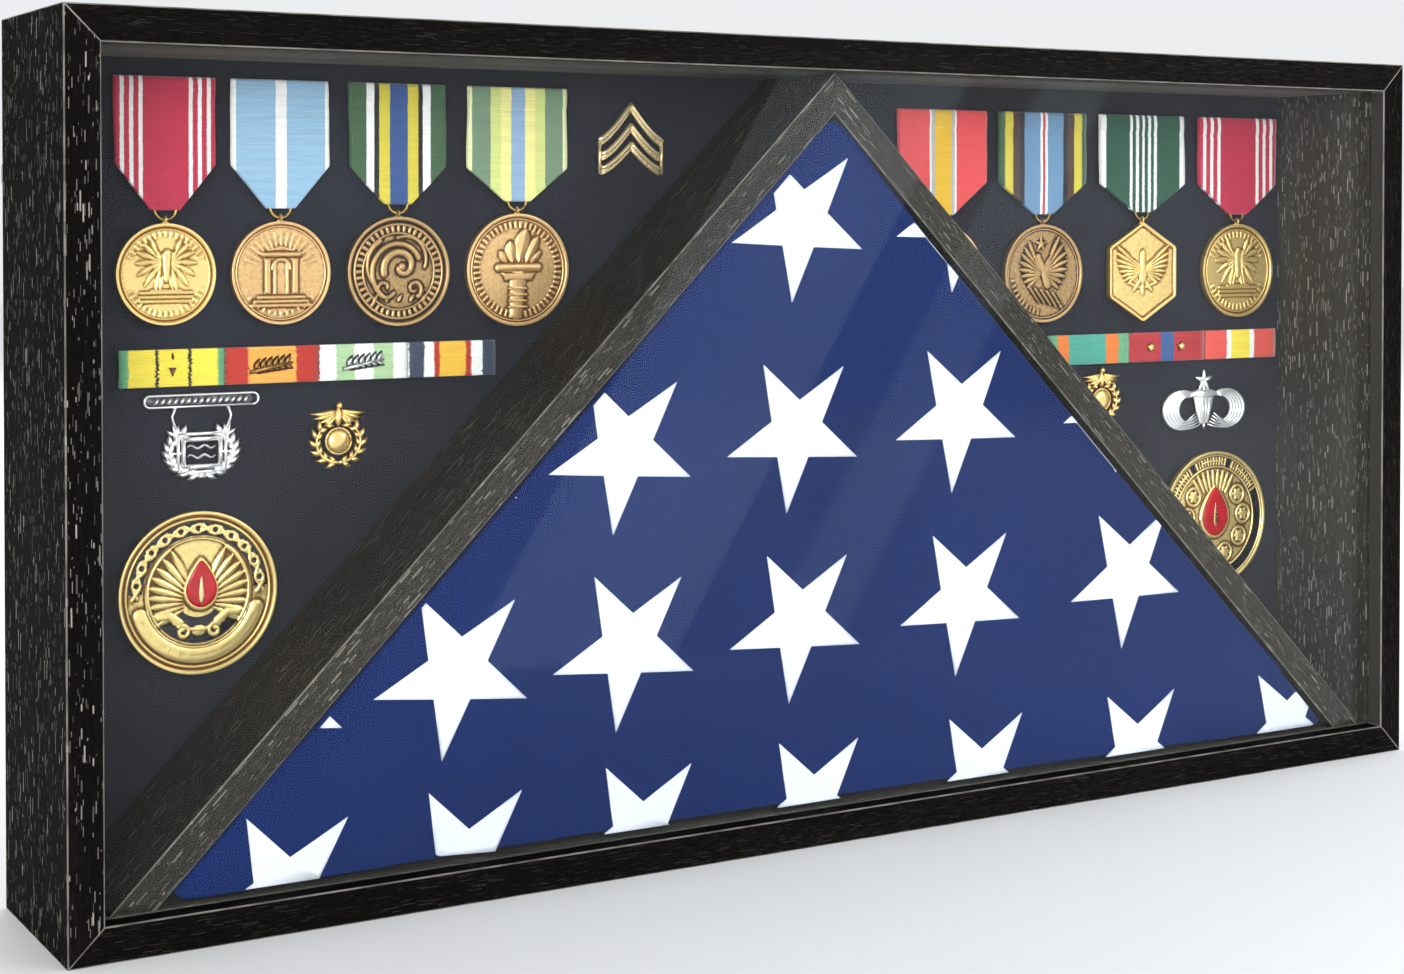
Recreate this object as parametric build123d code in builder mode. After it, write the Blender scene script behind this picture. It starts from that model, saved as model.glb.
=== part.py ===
from build123d import *
import os

# A wall or shelf display case for a folded flag, with two bays for medals.
# Lengths are in millimetres. The origin is the middle of the underside.
# +X is to the right and +Z is up, as seen from the front, which faces -Y.
# A "depth" is a distance behind the front face of the frame.

os.makedirs("parts", exist_ok=True)

# Frame
case_width = 642
case_height = 330
case_depth = 84
wall = 10
lip_width = 13
lip_depth = 8
arris = 0.5

# What the frame holds, from front to back
fit_gap = 0.5
glass_depth = 8.1
glass_thickness = 2
liner_depth = 10.2
cloth_depth = 70.5
cloth_thickness = 0.6
foam_thickness = 9.5
back_thickness = 3

# The two sloping dividers and the flag between them
divider_thickness = 12
divider_front = 10.4
divider_back = 65.5
apex_height = 316.8
flag_front = 11
flag_back = 65
flag_clearance = 1.4
flag_edge_radius = 4

# Screws, turn buttons, hangers and corner nails
screw_radius = 1.25
screw_length = 12
head_height = 1.6
recess_width = 0.8
button_width = 8
button_length = 22
button_thickness = 1.2
button_gap = 0.1
button_head_radius = 2.7
recess_span = 1.2
hanger_height = 276
strap_width = 8
strap_length = 24
strap_thickness = 1
strap_screw_drop = 18
strap_head_radius = 2.9
strap_corner = 1.5
roll_radius = 2
roll_width = 6
roll_gap = 0.05
ring_wire_radius = 0.8
ring_half_width = 4.2
ring_leg = 5
nail_inset = 2.8
nail_leg = 5
nail_thickness = 0.5
nail_length = 9

# Medals: each has a brooch, a ribbon, a suspension ring and a pendant
ribbon_thickness = 1.6
ribbon_tail_width = 12
medal_depth = 68.6
medal_ring_radius = 4.2
medal_wire_radius = 0.5
ring_seat_gap = 0.05
pendant_thickness = 2.8
pendant_rim = 1.8
pendant_relief = 0.4
pendant_field = 0.84
eyelet_radius = 1.2
eyelet_wire_radius = 0.45
eyelet_rise = 1.3
post_radius = 0.6
post_length = 7
brooch_height = 6
brooch_drop = 5
brooch_inset = 2
bar_face_thickness = 1.4
carrier_inset = 1
carrier_post_inset = 20
insignia_thickness = 2.2
seat_gap = 0.1

left_row = {"top": 310, "shoulder": 277, "pendant_height": 235.5}
right_row = {"top": 306, "shoulder": 273, "pendant_height": 230.5}

# Number, row, middle of the ribbon, ribbon width, pendant size
medals = [
    (1, left_row, -264.5, 39.5, 38.5),
    (2, left_row, -219, 40, 40),
    (3, left_row, -170, 41.5, 43.5),
    (4, left_row, -117.5, 45.5, 46),
    (5, right_row, 97.5, 50, 45),
    (6, right_row, 156, 52, 46),
    (7, right_row, 217, 53.5, 48),
    (8, right_row, 278.5, 52, 46),
]
hexagonal_medal = 7

# Ribbon bars: left end, right end, bottom, height
ribbon_bars = {
    "ribbon_bar_left": (-282.7, -127.5, 193, 14),
    "ribbon_bar_right": (159.6, 304.6, 187, 14),
}

# Pinned insignia and coins
chevron_centre = (-64, 290)
chevron_span = 31
chevron_drop = 9.6
chevron_bar = 5
chevron_pitch = 8.2
chevron_web = 8
badge_centre = (-250.4, 187.4)
badge_bar_size = (46, 5.6)
badge_bar_corner = 1.2
badge_post_spread = 18
link_spread = 8
link_drop = 6.9
link_radii = (4.5, 3.1)
wreath_drop = 20
wreath_outer = (15.6, 10.6)
wreath_inner = (11.5, 7)
wreath_bar = (24, 3)
wreath_square = 11
emblem_centres = {"laurel_emblem_left": (-195, 171.8), "laurel_emblem_right": (193, 172.5)}
emblem_radius = 13.4
emblem_lobes = 8
emblem_body = 0.72
emblem_post_spread = 5
wing_badge_centre = (258, 162.5)
wing_badge_span = 54
wing_badge_height = 21
wing_width = 6
wing_opening_height = 12
shield_size = (12, 20.5)
star_rise = 14
star_radius = 5
wing_post_offset = (3, 5)
coins = {"coin_left": (-252.5, 114.3, 62), "coin_right": (263.4, 108.4, 66)}
coin_thickness = 3
coin_arris = 0.3
coin_pad_radius = 12
coin_pad_thickness = 0.8

# Places worked out from the dimensions above
half_width = case_width / 2
inner_half_width = half_width - lip_width
roll_centre_depth = case_depth + roll_radius + roll_gap
foam_depth = cloth_depth + cloth_thickness
back_depth = foam_depth + foam_thickness
divider_foot = apex_height - lip_width
divider_slant = divider_thickness * 2**0.5
rail_middle = half_width - wall / 2

# Turn buttons: number, pivot across and up, which way the button points when it is open
turn_buttons = [
    (1, -160, case_height - wall / 2, 0),
    (2, 160, case_height - wall / 2, 0),
    (3, -160, wall / 2, 0),
    (4, 160, wall / 2, 0),
    (5, -rail_middle, case_height / 2, -90),
    (6, rail_middle, case_height / 2, -90),
]
button_pivots = [(across, up) for _, across, up, _ in turn_buttons]
hanger_screw_points = [(side * rail_middle, hanger_height - strap_screw_drop) for side in (-1, 1)]
screw_points = button_pivots + hanger_screw_points


def at_depth(depth):
    """A sketch plane that faces the front; extruding from it goes towards the front."""
    return Plane(origin=(0, depth - case_depth / 2, 0), x_dir=(1, 0, 0), z_dir=(0, -1, 0))


def place(across, up, depth):
    """A location at a depth behind the front face."""
    return Location((across, depth - case_depth / 2, up))


def save(piece, name):
    """Names a finished piece and writes it."""
    piece.part.label = name
    export_step(piece.part, f"parts/{name}.step")


def circles(points, radius, depth):
    """A sketch of circles at a depth."""
    with BuildSketch(at_depth(depth)) as dots:
        with Locations(*points):
            Circle(radius)
    return dots.sketch


def corner_nail_outlines():
    """A sketch of the four L-shaped corner nails, on the rear face of the frame."""
    reach = (nail_leg - nail_thickness) / 2
    with BuildSketch(at_depth(case_depth)) as nails:
        for side in (-1, 1):
            for corner_height, up in ((0, 1), (case_height, -1)):
                across = side * (half_width - nail_inset)
                height = corner_height + up * nail_inset
                with Locations((across - side * reach, height)):
                    Rectangle(nail_leg, nail_thickness)
                with Locations((across, height + up * reach)):
                    Rectangle(nail_thickness, nail_leg)
    return nails.sketch


def drill_frame():
    """Cuts the screw holes and the nail slots out of the rail that is being built."""
    holes = circles(screw_points, screw_radius, case_depth)
    extrude(holes, amount=screw_length, mode=Mode.SUBTRACT)
    extrude(corner_nail_outlines(), amount=nail_length, mode=Mode.SUBTRACT)


def rail_outline(outer, inward):
    """The L-shaped section of a rail: its wall, and the lip along its front."""
    front = -case_depth / 2
    return [
        (outer, front),
        (outer + inward * lip_width, front),
        (outer + inward * lip_width, front + lip_depth),
        (outer + inward * wall, front + lip_depth),
        (outer + inward * wall, -front),
        (outer, -front),
    ]


# The four rails of the frame, mitred at the corners
for name, outer, inward in (("frame_bottom", 0, 1), ("frame_top", case_height, -1)):
    with BuildPart() as rail:
        with BuildSketch(Plane.YZ.offset(-half_width)):
            with BuildLine():
                Polyline(*[(front, up) for up, front in rail_outline(outer, inward)], close=True)
            make_face()
        extrude(amount=case_width)
        chamfer(rail.edges().filter_by(Axis.X).group_by(Axis.Y)[0], arris)
        for side in (-1, 1):
            mitre = Plane(origin=(side * half_width, 0, outer), z_dir=(-side, 0, -inward))
            split(bisect_by=mitre, keep=Keep.TOP)
        drill_frame()
    save(rail, name)

for name, side in (("frame_left", -1), ("frame_right", 1)):
    with BuildPart() as rail:
        with BuildSketch(Plane.XY):
            with BuildLine():
                Polyline(*rail_outline(side * half_width, -side), close=True)
            make_face()
        extrude(amount=case_height)
        chamfer(rail.edges().filter_by(Axis.Z).group_by(Axis.Y)[0], arris)
        for outer, inward in ((0, 1), (case_height, -1)):
            mitre = Plane(origin=(side * half_width, 0, outer), z_dir=(side, 0, inward))
            split(bisect_by=mitre, keep=Keep.TOP)
        drill_frame()
    save(rail, name)

# The liner strips, which line the rails and hold the glass against the lip
liner_thickness = lip_width - wall
liner_reach = cloth_depth - liner_depth
for name, height in (
    ("liner_bottom", wall + liner_thickness / 2),
    ("liner_top", case_height - wall - liner_thickness / 2),
):
    with BuildPart() as liner:
        with BuildSketch(at_depth(cloth_depth)):
            with Locations((0, height)):
                Rectangle(case_width - 2 * wall, liner_thickness)
        extrude(amount=liner_reach)
    save(liner, name)

for name, side in (("liner_left", -1), ("liner_right", 1)):
    with BuildPart() as liner:
        with BuildSketch(at_depth(cloth_depth)):
            with Locations((side * (inner_half_width + liner_thickness / 2), case_height / 2)):
                Rectangle(liner_thickness, case_height - 2 * lip_width)
        extrude(amount=liner_reach)
    save(liner, name)


def pane(depth, thickness):
    """A sheet that fills the frame inside its walls, with a little room all round."""
    with BuildPart() as sheet:
        with BuildSketch(at_depth(depth + thickness)):
            with Locations((0, case_height / 2)):
                Rectangle(
                    case_width - 2 * wall - 2 * fit_gap,
                    case_height - 2 * wall - 2 * fit_gap,
                )
        extrude(amount=thickness)
    return sheet


glass_pane = pane(glass_depth, glass_thickness)
save(glass_pane, "glass_pane")

back_panel = pane(back_depth, back_thickness)
save(back_panel, "back_panel")

# The two dividers make an inverted V, mitred at the top and cut level at the foot
for name, side in (("divider_left", -1), ("divider_right", 1)):
    with BuildPart() as divider:
        with BuildSketch(at_depth(divider_back)):
            with BuildLine():
                Polyline(
                    (0, apex_height),
                    (side * divider_foot, lip_width),
                    (side * (divider_foot - divider_slant), lip_width),
                    (0, apex_height - divider_slant),
                    close=True,
                )
            make_face()
        extrude(amount=divider_back - divider_front)
        sloping = divider.faces().sort_by(Axis.Y)[0].edges().sort_by(SortBy.LENGTH)[-2:]
        chamfer(sloping, arris)
    save(divider, name)

# The folded flag, a right-angled triangle on its long side
flag_apex = apex_height - divider_slant - flag_clearance
flag_foot = flag_apex - lip_width - fit_gap
with BuildPart() as folded_flag:
    with BuildSketch(at_depth(flag_back)):
        with BuildLine():
            Polyline(
                (0, flag_apex),
                (-flag_foot, lip_width + fit_gap),
                (flag_foot, lip_width + fit_gap),
                close=True,
            )
        make_face()
    extrude(amount=flag_back - flag_front)
    fillet(folded_flag.edges().filter_by(Axis.Y), flag_edge_radius)
    fillet(folded_flag.faces().sort_by(Axis.Y)[0].edges(), flag_edge_radius / 2)
save(folded_flag, "folded_flag")

# Turn buttons that hold the back panel in; each one pivots on a screw in the frame's rear face
button_depth = case_depth + button_gap
for number, across, up, angle in turn_buttons:
    with BuildPart() as turn_button:
        with BuildSketch(at_depth(button_depth + button_thickness)):
            with Locations(Location((across, up), angle)):
                with Locations((button_length / 2 - button_width / 2, 0)):
                    SlotOverall(button_length, button_width)
                Circle(screw_radius + button_gap, mode=Mode.SUBTRACT)
        extrude(amount=button_thickness)
    save(turn_button, f"turn_button_{number}")


def add_screws(points, seat_depth, head_radius):
    """Pan-head screws with a cross recess, driven into the frame at the given points."""
    top_depth = seat_depth + head_height
    extrude(circles(points, screw_radius, seat_depth), amount=seat_depth - case_depth + screw_length)
    extrude(circles(points, head_radius, top_depth), amount=head_height)
    with BuildSketch(at_depth(top_depth)) as recesses:
        with Locations(*points):
            Rectangle(head_radius * recess_span, recess_width)
            Rectangle(recess_width, head_radius * recess_span)
    extrude(recesses.sketch, amount=head_height / 2, mode=Mode.SUBTRACT)


with BuildPart() as turn_button_screws:
    add_screws(button_pivots, button_depth + button_thickness + button_gap, button_head_radius)
save(turn_button_screws, "turn_button_screws")

with BuildPart() as hanger_screws:
    add_screws(hanger_screw_points, case_depth + strap_thickness, strap_head_radius)
save(hanger_screws, "hanger_screws")

# Wall hangers: a strap with a rolled end, and a ring that swings in the roll
for name, side in (("left", -1), ("right", 1)):
    middle = side * rail_middle
    with BuildPart() as hanger_plate:
        with BuildSketch(at_depth(case_depth + strap_thickness)):
            with Locations((middle, hanger_height - strap_length / 2)):
                RectangleRounded(strap_width, strap_length, strap_corner)
            with Locations((middle, hanger_height - strap_screw_drop)):
                Circle(screw_radius, mode=Mode.SUBTRACT)
        extrude(amount=strap_thickness)
        with BuildSketch(Plane.YZ.offset(middle)):
            with Locations((roll_centre_depth - case_depth / 2, hanger_height)):
                Circle(roll_radius)
            web_middle = roll_centre_depth - case_depth / 2 - roll_radius / 2
            with Locations((web_middle, hanger_height - strap_thickness)):
                Rectangle(roll_radius, 2 * strap_thickness)
        extrude(amount=roll_width / 2, both=True)
        with BuildSketch(Plane.YZ.offset(middle)):
            with Locations((roll_centre_depth - case_depth / 2, hanger_height)):
                Circle(ring_wire_radius + button_gap)
        extrude(amount=roll_width, both=True, mode=Mode.SUBTRACT)
    save(hanger_plate, f"hanger_plate_{name}")

    with BuildPart() as hanger_ring:
        with BuildLine(at_depth(roll_centre_depth)):
            left_leg = Line(
                (middle - ring_half_width, hanger_height),
                (middle - ring_half_width, hanger_height - ring_leg),
            )
            bow = CenterArc((middle, hanger_height - ring_leg), ring_half_width, 180, 180)
            right_leg = Line(
                (middle + ring_half_width, hanger_height - ring_leg),
                (middle + ring_half_width, hanger_height),
            )
        with BuildSketch(Plane(origin=left_leg @ 0, z_dir=left_leg % 0)):
            Circle(ring_wire_radius)
        sweep()
        with BuildSketch(Plane.YZ.offset(middle)):
            with Locations((roll_centre_depth - case_depth / 2, hanger_height)):
                Circle(ring_wire_radius)
        extrude(amount=ring_half_width, both=True)
        with Locations(
            place(middle - ring_half_width, hanger_height, roll_centre_depth),
            place(middle + ring_half_width, hanger_height, roll_centre_depth),
        ):
            Sphere(ring_wire_radius)
    save(hanger_ring, f"hanger_ring_{name}")

with BuildPart() as corner_nails:
    extrude(corner_nail_outlines(), amount=nail_length)
save(corner_nails, "corner_nails")

# Medals, hung in two rows on the cloth-covered board
brooch_depth = medal_depth + ribbon_thickness / 2
brooch_thickness = cloth_depth - brooch_depth - seat_gap
post_points = []


def ring_centre(row, pendant_size):
    """The height of a medal's suspension ring, which is what its pendant swings about."""
    return row["pendant_height"] + pendant_size / 2 + eyelet_rise + medal_ring_radius


for number, row, across, ribbon_width, pendant_size in medals:
    ring_height = ring_centre(row, pendant_size)
    ring_place = place(across, ring_height, medal_depth) * Location((0, 0, 0), (90, 0, 0))
    tail = ring_height - medal_wire_radius
    with BuildPart() as medal_ribbon:
        with BuildSketch(at_depth(medal_depth + ribbon_thickness / 2)):
            with BuildLine():
                Polyline(
                    (across - ribbon_width / 2, row["top"]),
                    (across + ribbon_width / 2, row["top"]),
                    (across + ribbon_width / 2, row["shoulder"]),
                    (across + ribbon_tail_width / 2, tail),
                    (across - ribbon_tail_width / 2, tail),
                    (across - ribbon_width / 2, row["shoulder"]),
                    close=True,
                )
            make_face()
        extrude(amount=ribbon_thickness)
        with Locations(ring_place):
            Torus(medal_ring_radius, medal_wire_radius + ring_seat_gap, mode=Mode.SUBTRACT)
    save(medal_ribbon, f"medal_{number}_ribbon")

    with BuildPart() as medal_pendant:
        with BuildSketch(at_depth(medal_depth + pendant_thickness / 2)):
            with Locations((across, row["pendant_height"])):
                if number == hexagonal_medal:
                    RegularPolygon(pendant_size / 2, 6, rotation=30)
                else:
                    Circle(pendant_size / 2)
        extrude(amount=pendant_thickness)
        with BuildSketch(at_depth(medal_depth - pendant_thickness / 2)):
            with Locations((across, row["pendant_height"])):
                Circle(pendant_size / 2 * pendant_field - pendant_rim)
        extrude(amount=-pendant_relief, mode=Mode.SUBTRACT)
        edge_on = Location((0, 0, 0), (0, 90, 0))
        with Locations(place(across, ring_height - medal_ring_radius, medal_depth) * edge_on):
            Torus(eyelet_radius, eyelet_wire_radius)
    save(medal_pendant, f"medal_{number}_pendant")

with BuildPart() as medal_rings:
    upright = Location((0, 0, 0), (90, 0, 0))
    for _, row, across, _, pendant_size in medals:
        with Locations(place(across, ring_centre(row, pendant_size), medal_depth) * upright):
            Torus(medal_ring_radius, medal_wire_radius)
save(medal_rings, "medal_rings")

with BuildPart() as medal_brooches:
    for _, row, across, ribbon_width, _ in medals:
        with BuildSketch(at_depth(brooch_depth + brooch_thickness)):
            with Locations((across, row["top"] - brooch_drop)):
                Rectangle(ribbon_width - 2 * brooch_inset, brooch_height)
        extrude(amount=brooch_thickness)
        points = [(across + side * ribbon_width / 3, row["top"] - brooch_drop) for side in (-1, 1)]
        extrude(circles(points, post_radius, brooch_depth + brooch_thickness), amount=-post_length)
        post_points += points
save(medal_brooches, "medal_brooches")

# Ribbon bars: a cloth-covered face on a metal carrier with two posts
for name, (left, right, bottom, height) in ribbon_bars.items():
    with BuildPart() as ribbon_bar:
        with BuildSketch(at_depth(brooch_depth)):
            with Locations(((left + right) / 2, bottom + height / 2)):
                Rectangle(right - left, height)
        extrude(amount=bar_face_thickness)
        chamfer(ribbon_bar.faces().sort_by(Axis.Y)[0].edges(), arris)
    save(ribbon_bar, name)

with BuildPart() as ribbon_bar_carriers:
    for left, right, bottom, height in ribbon_bars.values():
        with BuildSketch(at_depth(brooch_depth + brooch_thickness)):
            with Locations(((left + right) / 2, bottom + height / 2)):
                Rectangle(right - left - 2 * carrier_inset, height - 3 * carrier_inset)
        extrude(amount=brooch_thickness)
        ends = (left + carrier_post_inset, right - carrier_post_inset)
        points = [(end, bottom + height / 2) for end in ends]
        extrude(circles(points, post_radius, brooch_depth + brooch_thickness), amount=-post_length)
        post_points += points
save(ribbon_bar_carriers, "ribbon_bar_carriers")

pin_depth = cloth_depth - seat_gap


def add_posts(points):
    """Posts on the back of a pinned piece, which go into the foam board."""
    extrude(circles(points, post_radius, pin_depth), amount=-post_length)
    post_points.extend(points)


# Chevron pin: three bent bars on a thin plate
across, up = chevron_centre
half_span = chevron_span / 2
chevron_middle = up + chevron_drop / 2
with BuildPart() as chevron_pin:
    for step in (-1, 0, 1):
        peak = chevron_middle + step * chevron_pitch + chevron_bar / 2
        foot = peak - chevron_drop
        with BuildSketch(at_depth(pin_depth)):
            with BuildLine():
                Polyline(
                    (across, peak),
                    (across + half_span, foot),
                    (across + half_span, foot - chevron_bar),
                    (across, peak - chevron_bar),
                    (across - half_span, foot - chevron_bar),
                    (across - half_span, foot),
                    close=True,
                )
            make_face()
        extrude(amount=insignia_thickness)
    with BuildSketch(at_depth(pin_depth)):
        with Locations((across, chevron_middle)):
            Rectangle(chevron_web, 2 * chevron_pitch)
    extrude(amount=insignia_thickness / 2)
    add_posts([(across, chevron_middle - chevron_pitch), (across, chevron_middle + chevron_pitch)])
save(chevron_pin, "chevron_pin")

# Service badge: a bar with a wreath hung under it
across, up = badge_centre
bar_length, bar_height = badge_bar_size
wreath_height = up - wreath_drop
with BuildPart() as service_badge:
    with BuildSketch(at_depth(pin_depth)):
        with Locations((across, up)):
            RectangleRounded(bar_length, bar_height, badge_bar_corner)
        with Locations(*[(across + side * link_spread, up - link_drop) for side in (-1, 1)]):
            Circle(link_radii[0])
            Circle(link_radii[1], mode=Mode.SUBTRACT)
        with Locations((across, wreath_height)):
            Ellipse(*wreath_outer)
            Ellipse(*wreath_inner, mode=Mode.SUBTRACT)
            Rectangle(*wreath_bar)
            Rectangle(wreath_square, wreath_square)
    extrude(amount=insignia_thickness)
    add_posts([(across + side * badge_post_spread, up) for side in (-1, 1)])
save(service_badge, "service_badge")

# Laurel emblems: a lobed rosette
for name, (across, up) in emblem_centres.items():
    with BuildPart() as emblem:
        with BuildSketch(at_depth(pin_depth)):
            with Locations((across, up)):
                Circle(emblem_radius * emblem_body)
                with PolarLocations(emblem_radius * emblem_body, emblem_lobes):
                    Circle(emblem_radius * (1 - emblem_body))
        extrude(amount=insignia_thickness)
        add_posts([(across, up + side * emblem_post_spread) for side in (-1, 1)])
    save(emblem, name)

# Winged badge: an open oval of wings with a bar and a star above
across, up = wing_badge_centre
with BuildPart() as wing_badge:
    with BuildSketch(at_depth(pin_depth)):
        with Locations((across, up)):
            Ellipse(wing_badge_span / 2, wing_badge_height / 2)
            Ellipse(wing_badge_span / 2 - wing_width, wing_opening_height / 2, mode=Mode.SUBTRACT)
            Rectangle(*shield_size)
        with Locations((across, up + star_rise)):
            Circle(star_radius)
    extrude(amount=insignia_thickness)
    sideways, drop = wing_post_offset
    add_posts([(across + side * sideways, up - drop) for side in (-1, 1)])
save(wing_badge, "wing_badge")

# Coins, held by sticky pads
for name, (across, up, size) in coins.items():
    with BuildPart() as coin:
        with BuildSketch(at_depth(pin_depth - coin_pad_thickness)):
            with Locations((across, up)):
                Circle(size / 2)
        extrude(amount=coin_thickness)
        with BuildSketch(at_depth(pin_depth - coin_pad_thickness - coin_thickness)):
            with Locations((across, up)):
                Circle(size / 2 - pendant_rim)
        extrude(amount=-pendant_relief, mode=Mode.SUBTRACT)
        chamfer(coin.faces().sort_by(Axis.Y)[-1].edges(), coin_arris)
    save(coin, name)

with BuildPart() as coin_pads:
    with BuildSketch(at_depth(pin_depth)):
        with Locations(*[(across, up) for across, up, _ in coins.values()]):
            Circle(coin_pad_radius)
    extrude(amount=coin_pad_thickness)
save(coin_pads, "coin_pads")


def drilled_board(depth, thickness, hole_length):
    """A sheet that fills the frame, drilled for the posts from its front face."""
    sheet = pane(depth, thickness)
    with BuildPart() as board:
        add(sheet.part)
        extrude(circles(post_points, post_radius, depth), amount=-hole_length, mode=Mode.SUBTRACT)
    return board


# The board that the medals are pinned to: cloth over foam
backing_cloth = drilled_board(cloth_depth, cloth_thickness, cloth_thickness)
save(backing_cloth, "backing_cloth")

pin_board = drilled_board(foam_depth, foam_thickness, post_length)
save(pin_board, "pin_board")
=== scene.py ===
import math

import bmesh
import bpy
import numpy as np
from mathutils import Matrix, Vector, noise
from mathutils.bvhtree import BVHTree
from mathutils.geometry import delaunay_2d_cdt


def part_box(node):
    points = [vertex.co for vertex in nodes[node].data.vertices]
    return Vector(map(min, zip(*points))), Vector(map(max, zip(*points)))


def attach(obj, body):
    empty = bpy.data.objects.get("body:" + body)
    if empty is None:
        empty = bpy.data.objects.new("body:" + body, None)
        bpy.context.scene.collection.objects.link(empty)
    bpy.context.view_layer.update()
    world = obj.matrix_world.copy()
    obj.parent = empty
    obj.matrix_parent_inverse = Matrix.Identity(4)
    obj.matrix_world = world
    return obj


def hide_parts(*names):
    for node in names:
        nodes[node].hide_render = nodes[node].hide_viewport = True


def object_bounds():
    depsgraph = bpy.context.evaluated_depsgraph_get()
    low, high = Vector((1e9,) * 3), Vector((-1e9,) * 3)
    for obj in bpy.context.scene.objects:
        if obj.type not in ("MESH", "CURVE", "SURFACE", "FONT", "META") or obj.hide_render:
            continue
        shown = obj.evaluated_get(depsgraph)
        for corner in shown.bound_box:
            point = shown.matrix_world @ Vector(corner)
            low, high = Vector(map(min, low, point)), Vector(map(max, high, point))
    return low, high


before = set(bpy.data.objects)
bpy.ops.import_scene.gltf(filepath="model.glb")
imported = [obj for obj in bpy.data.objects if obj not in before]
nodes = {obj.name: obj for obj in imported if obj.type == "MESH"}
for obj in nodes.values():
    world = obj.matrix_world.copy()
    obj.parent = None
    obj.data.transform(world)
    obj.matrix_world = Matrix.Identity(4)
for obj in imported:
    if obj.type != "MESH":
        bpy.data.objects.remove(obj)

# A folded flag display case, in metres, in the frame of the CAD model: +X to the right and
# +Z up as seen from the front, which faces -Y. A "depth" is a distance in millimetres behind
# the front of the frame, and shapes on the board are drawn in millimetres, across and up.

MM = 0.001
cad_low, cad_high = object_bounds()
FRONT = cad_low.y
CARD_LEAN = math.radians(32)
CAMERA_PLACE = (-0.5329, -0.8259, 0.2573)
CAMERA_PITCH, CAMERA_YAW = math.radians(89), math.radians(-30.57)
CAMERA_LENS, CAMERA_SHIFT = 59.2, -0.164
FLOOR_REACH = 6


def at_depth(depth):
    """The Y coordinate of a depth in millimetres behind the front of the frame."""
    return FRONT + depth * MM


def depth_of(y):
    """The depth in millimetres of a Y coordinate."""
    return (y - FRONT) / MM


def add_object(name, data):
    """An object in the scene, made from a mesh, a lamp or a camera."""
    obj = bpy.data.objects.new(name, data)
    bpy.context.scene.collection.objects.link(obj)
    return obj


# ---------------------------------------------------------------- camera, light and floor

def set_camera():
    """The camera: to the left of the case, level with its upper part, looking very slightly down."""
    camera = bpy.data.cameras.new("camera")
    camera.sensor_width = 36
    camera.lens = CAMERA_LENS
    camera.shift_y = CAMERA_SHIFT
    camera.clip_start = 0.05
    camera.clip_end = 50
    obj = add_object("camera", camera)
    obj.location = CAMERA_PLACE
    obj.rotation_euler = (CAMERA_PITCH, 0, CAMERA_YAW)
    bpy.context.scene.camera = obj


def area_light(name, place, aim, size, watts, colour=(1, 1, 1)):
    """A rectangular soft light at a place, aimed at a point."""
    lamp = bpy.data.lights.new(name, "AREA")
    lamp.shape = "RECTANGLE"
    lamp.size, lamp.size_y = size
    lamp.energy = watts
    lamp.color = colour
    obj = add_object(name, lamp)
    obj.location = place
    obj.rotation_euler = (Vector(aim) - Vector(place)).to_track_quat("-Z", "Y").to_euler()
    return obj


def set_studio():
    """A pale world, a pale floor and large soft lights."""
    scene = bpy.context.scene
    scene.view_settings.view_transform = "Standard"
    world = bpy.data.worlds.new("studio")
    world.use_nodes = True
    background = world.node_tree.nodes["Background"]
    background.inputs["Color"].default_value = (0.93, 0.945, 0.96, 1)
    background.inputs["Strength"].default_value = 0.9
    scene.world = world

    middle = (0, 0, 0.16)
    area_light("key_light", (-1.3, -2.2, 0.5), middle, (1.5, 1.0), 31)
    area_light("front_light", (1.25, -1.55, 0.95), (0.1, 0, 0.2), (0.9, 0.6), 7.5)
    area_light("side_light", (2.4, 0.1, 1.5), middle, (1.0, 1.4), 14)
    area_light("rear_light", (0.6, 2.2, 1.8), middle, (1.8, 1.2), 30)
    # Two slanting cards, whose reflections lie across the glass as soft diagonal bands
    pale_blue = (0.72, 0.86, 1.0)
    slant = Matrix.Rotation(CARD_LEAN, 4, "Y") @ Matrix.Rotation(math.pi / 2, 4, "X")
    for name, across, wide, watts in (("wide_card", 0.2, 0.12, 0.5), ("narrow_card", 0.36, 0.05, 0.14)):
        card = area_light(name, (across, -0.42, 0.2), (across, 0, 0.2), (wide, 0.9), watts, pale_blue)
        card.rotation_euler = slant.to_euler()

    mesh = bpy.data.meshes.new("floor")
    corners = ((-1, -1), (1, -1), (1, 1), (-1, 1))
    mesh.from_pydata([(x * FLOOR_REACH, y * FLOOR_REACH, 0) for x, y in corners], [], [(0, 1, 2, 3)])
    floor = add_object("floor", mesh)
    paint = Paint("floor_paper", roughness=0.9)
    paint.colour((0.86, 0.865, 0.87))
    mesh.materials.append(paint.material)


# ---------------------------------------------------------------- materials

def is_output(value):
    """Whether a value is a node's output, not a number or a colour."""
    return isinstance(value, bpy.types.NodeSocket)


def tinted(value):
    """A colour with its alpha added; an output stays as it is."""
    return value if is_output(value) else (*value, 1)


def cube(scale):
    """The same scale on all three axes."""
    return (scale, scale, scale)


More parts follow.
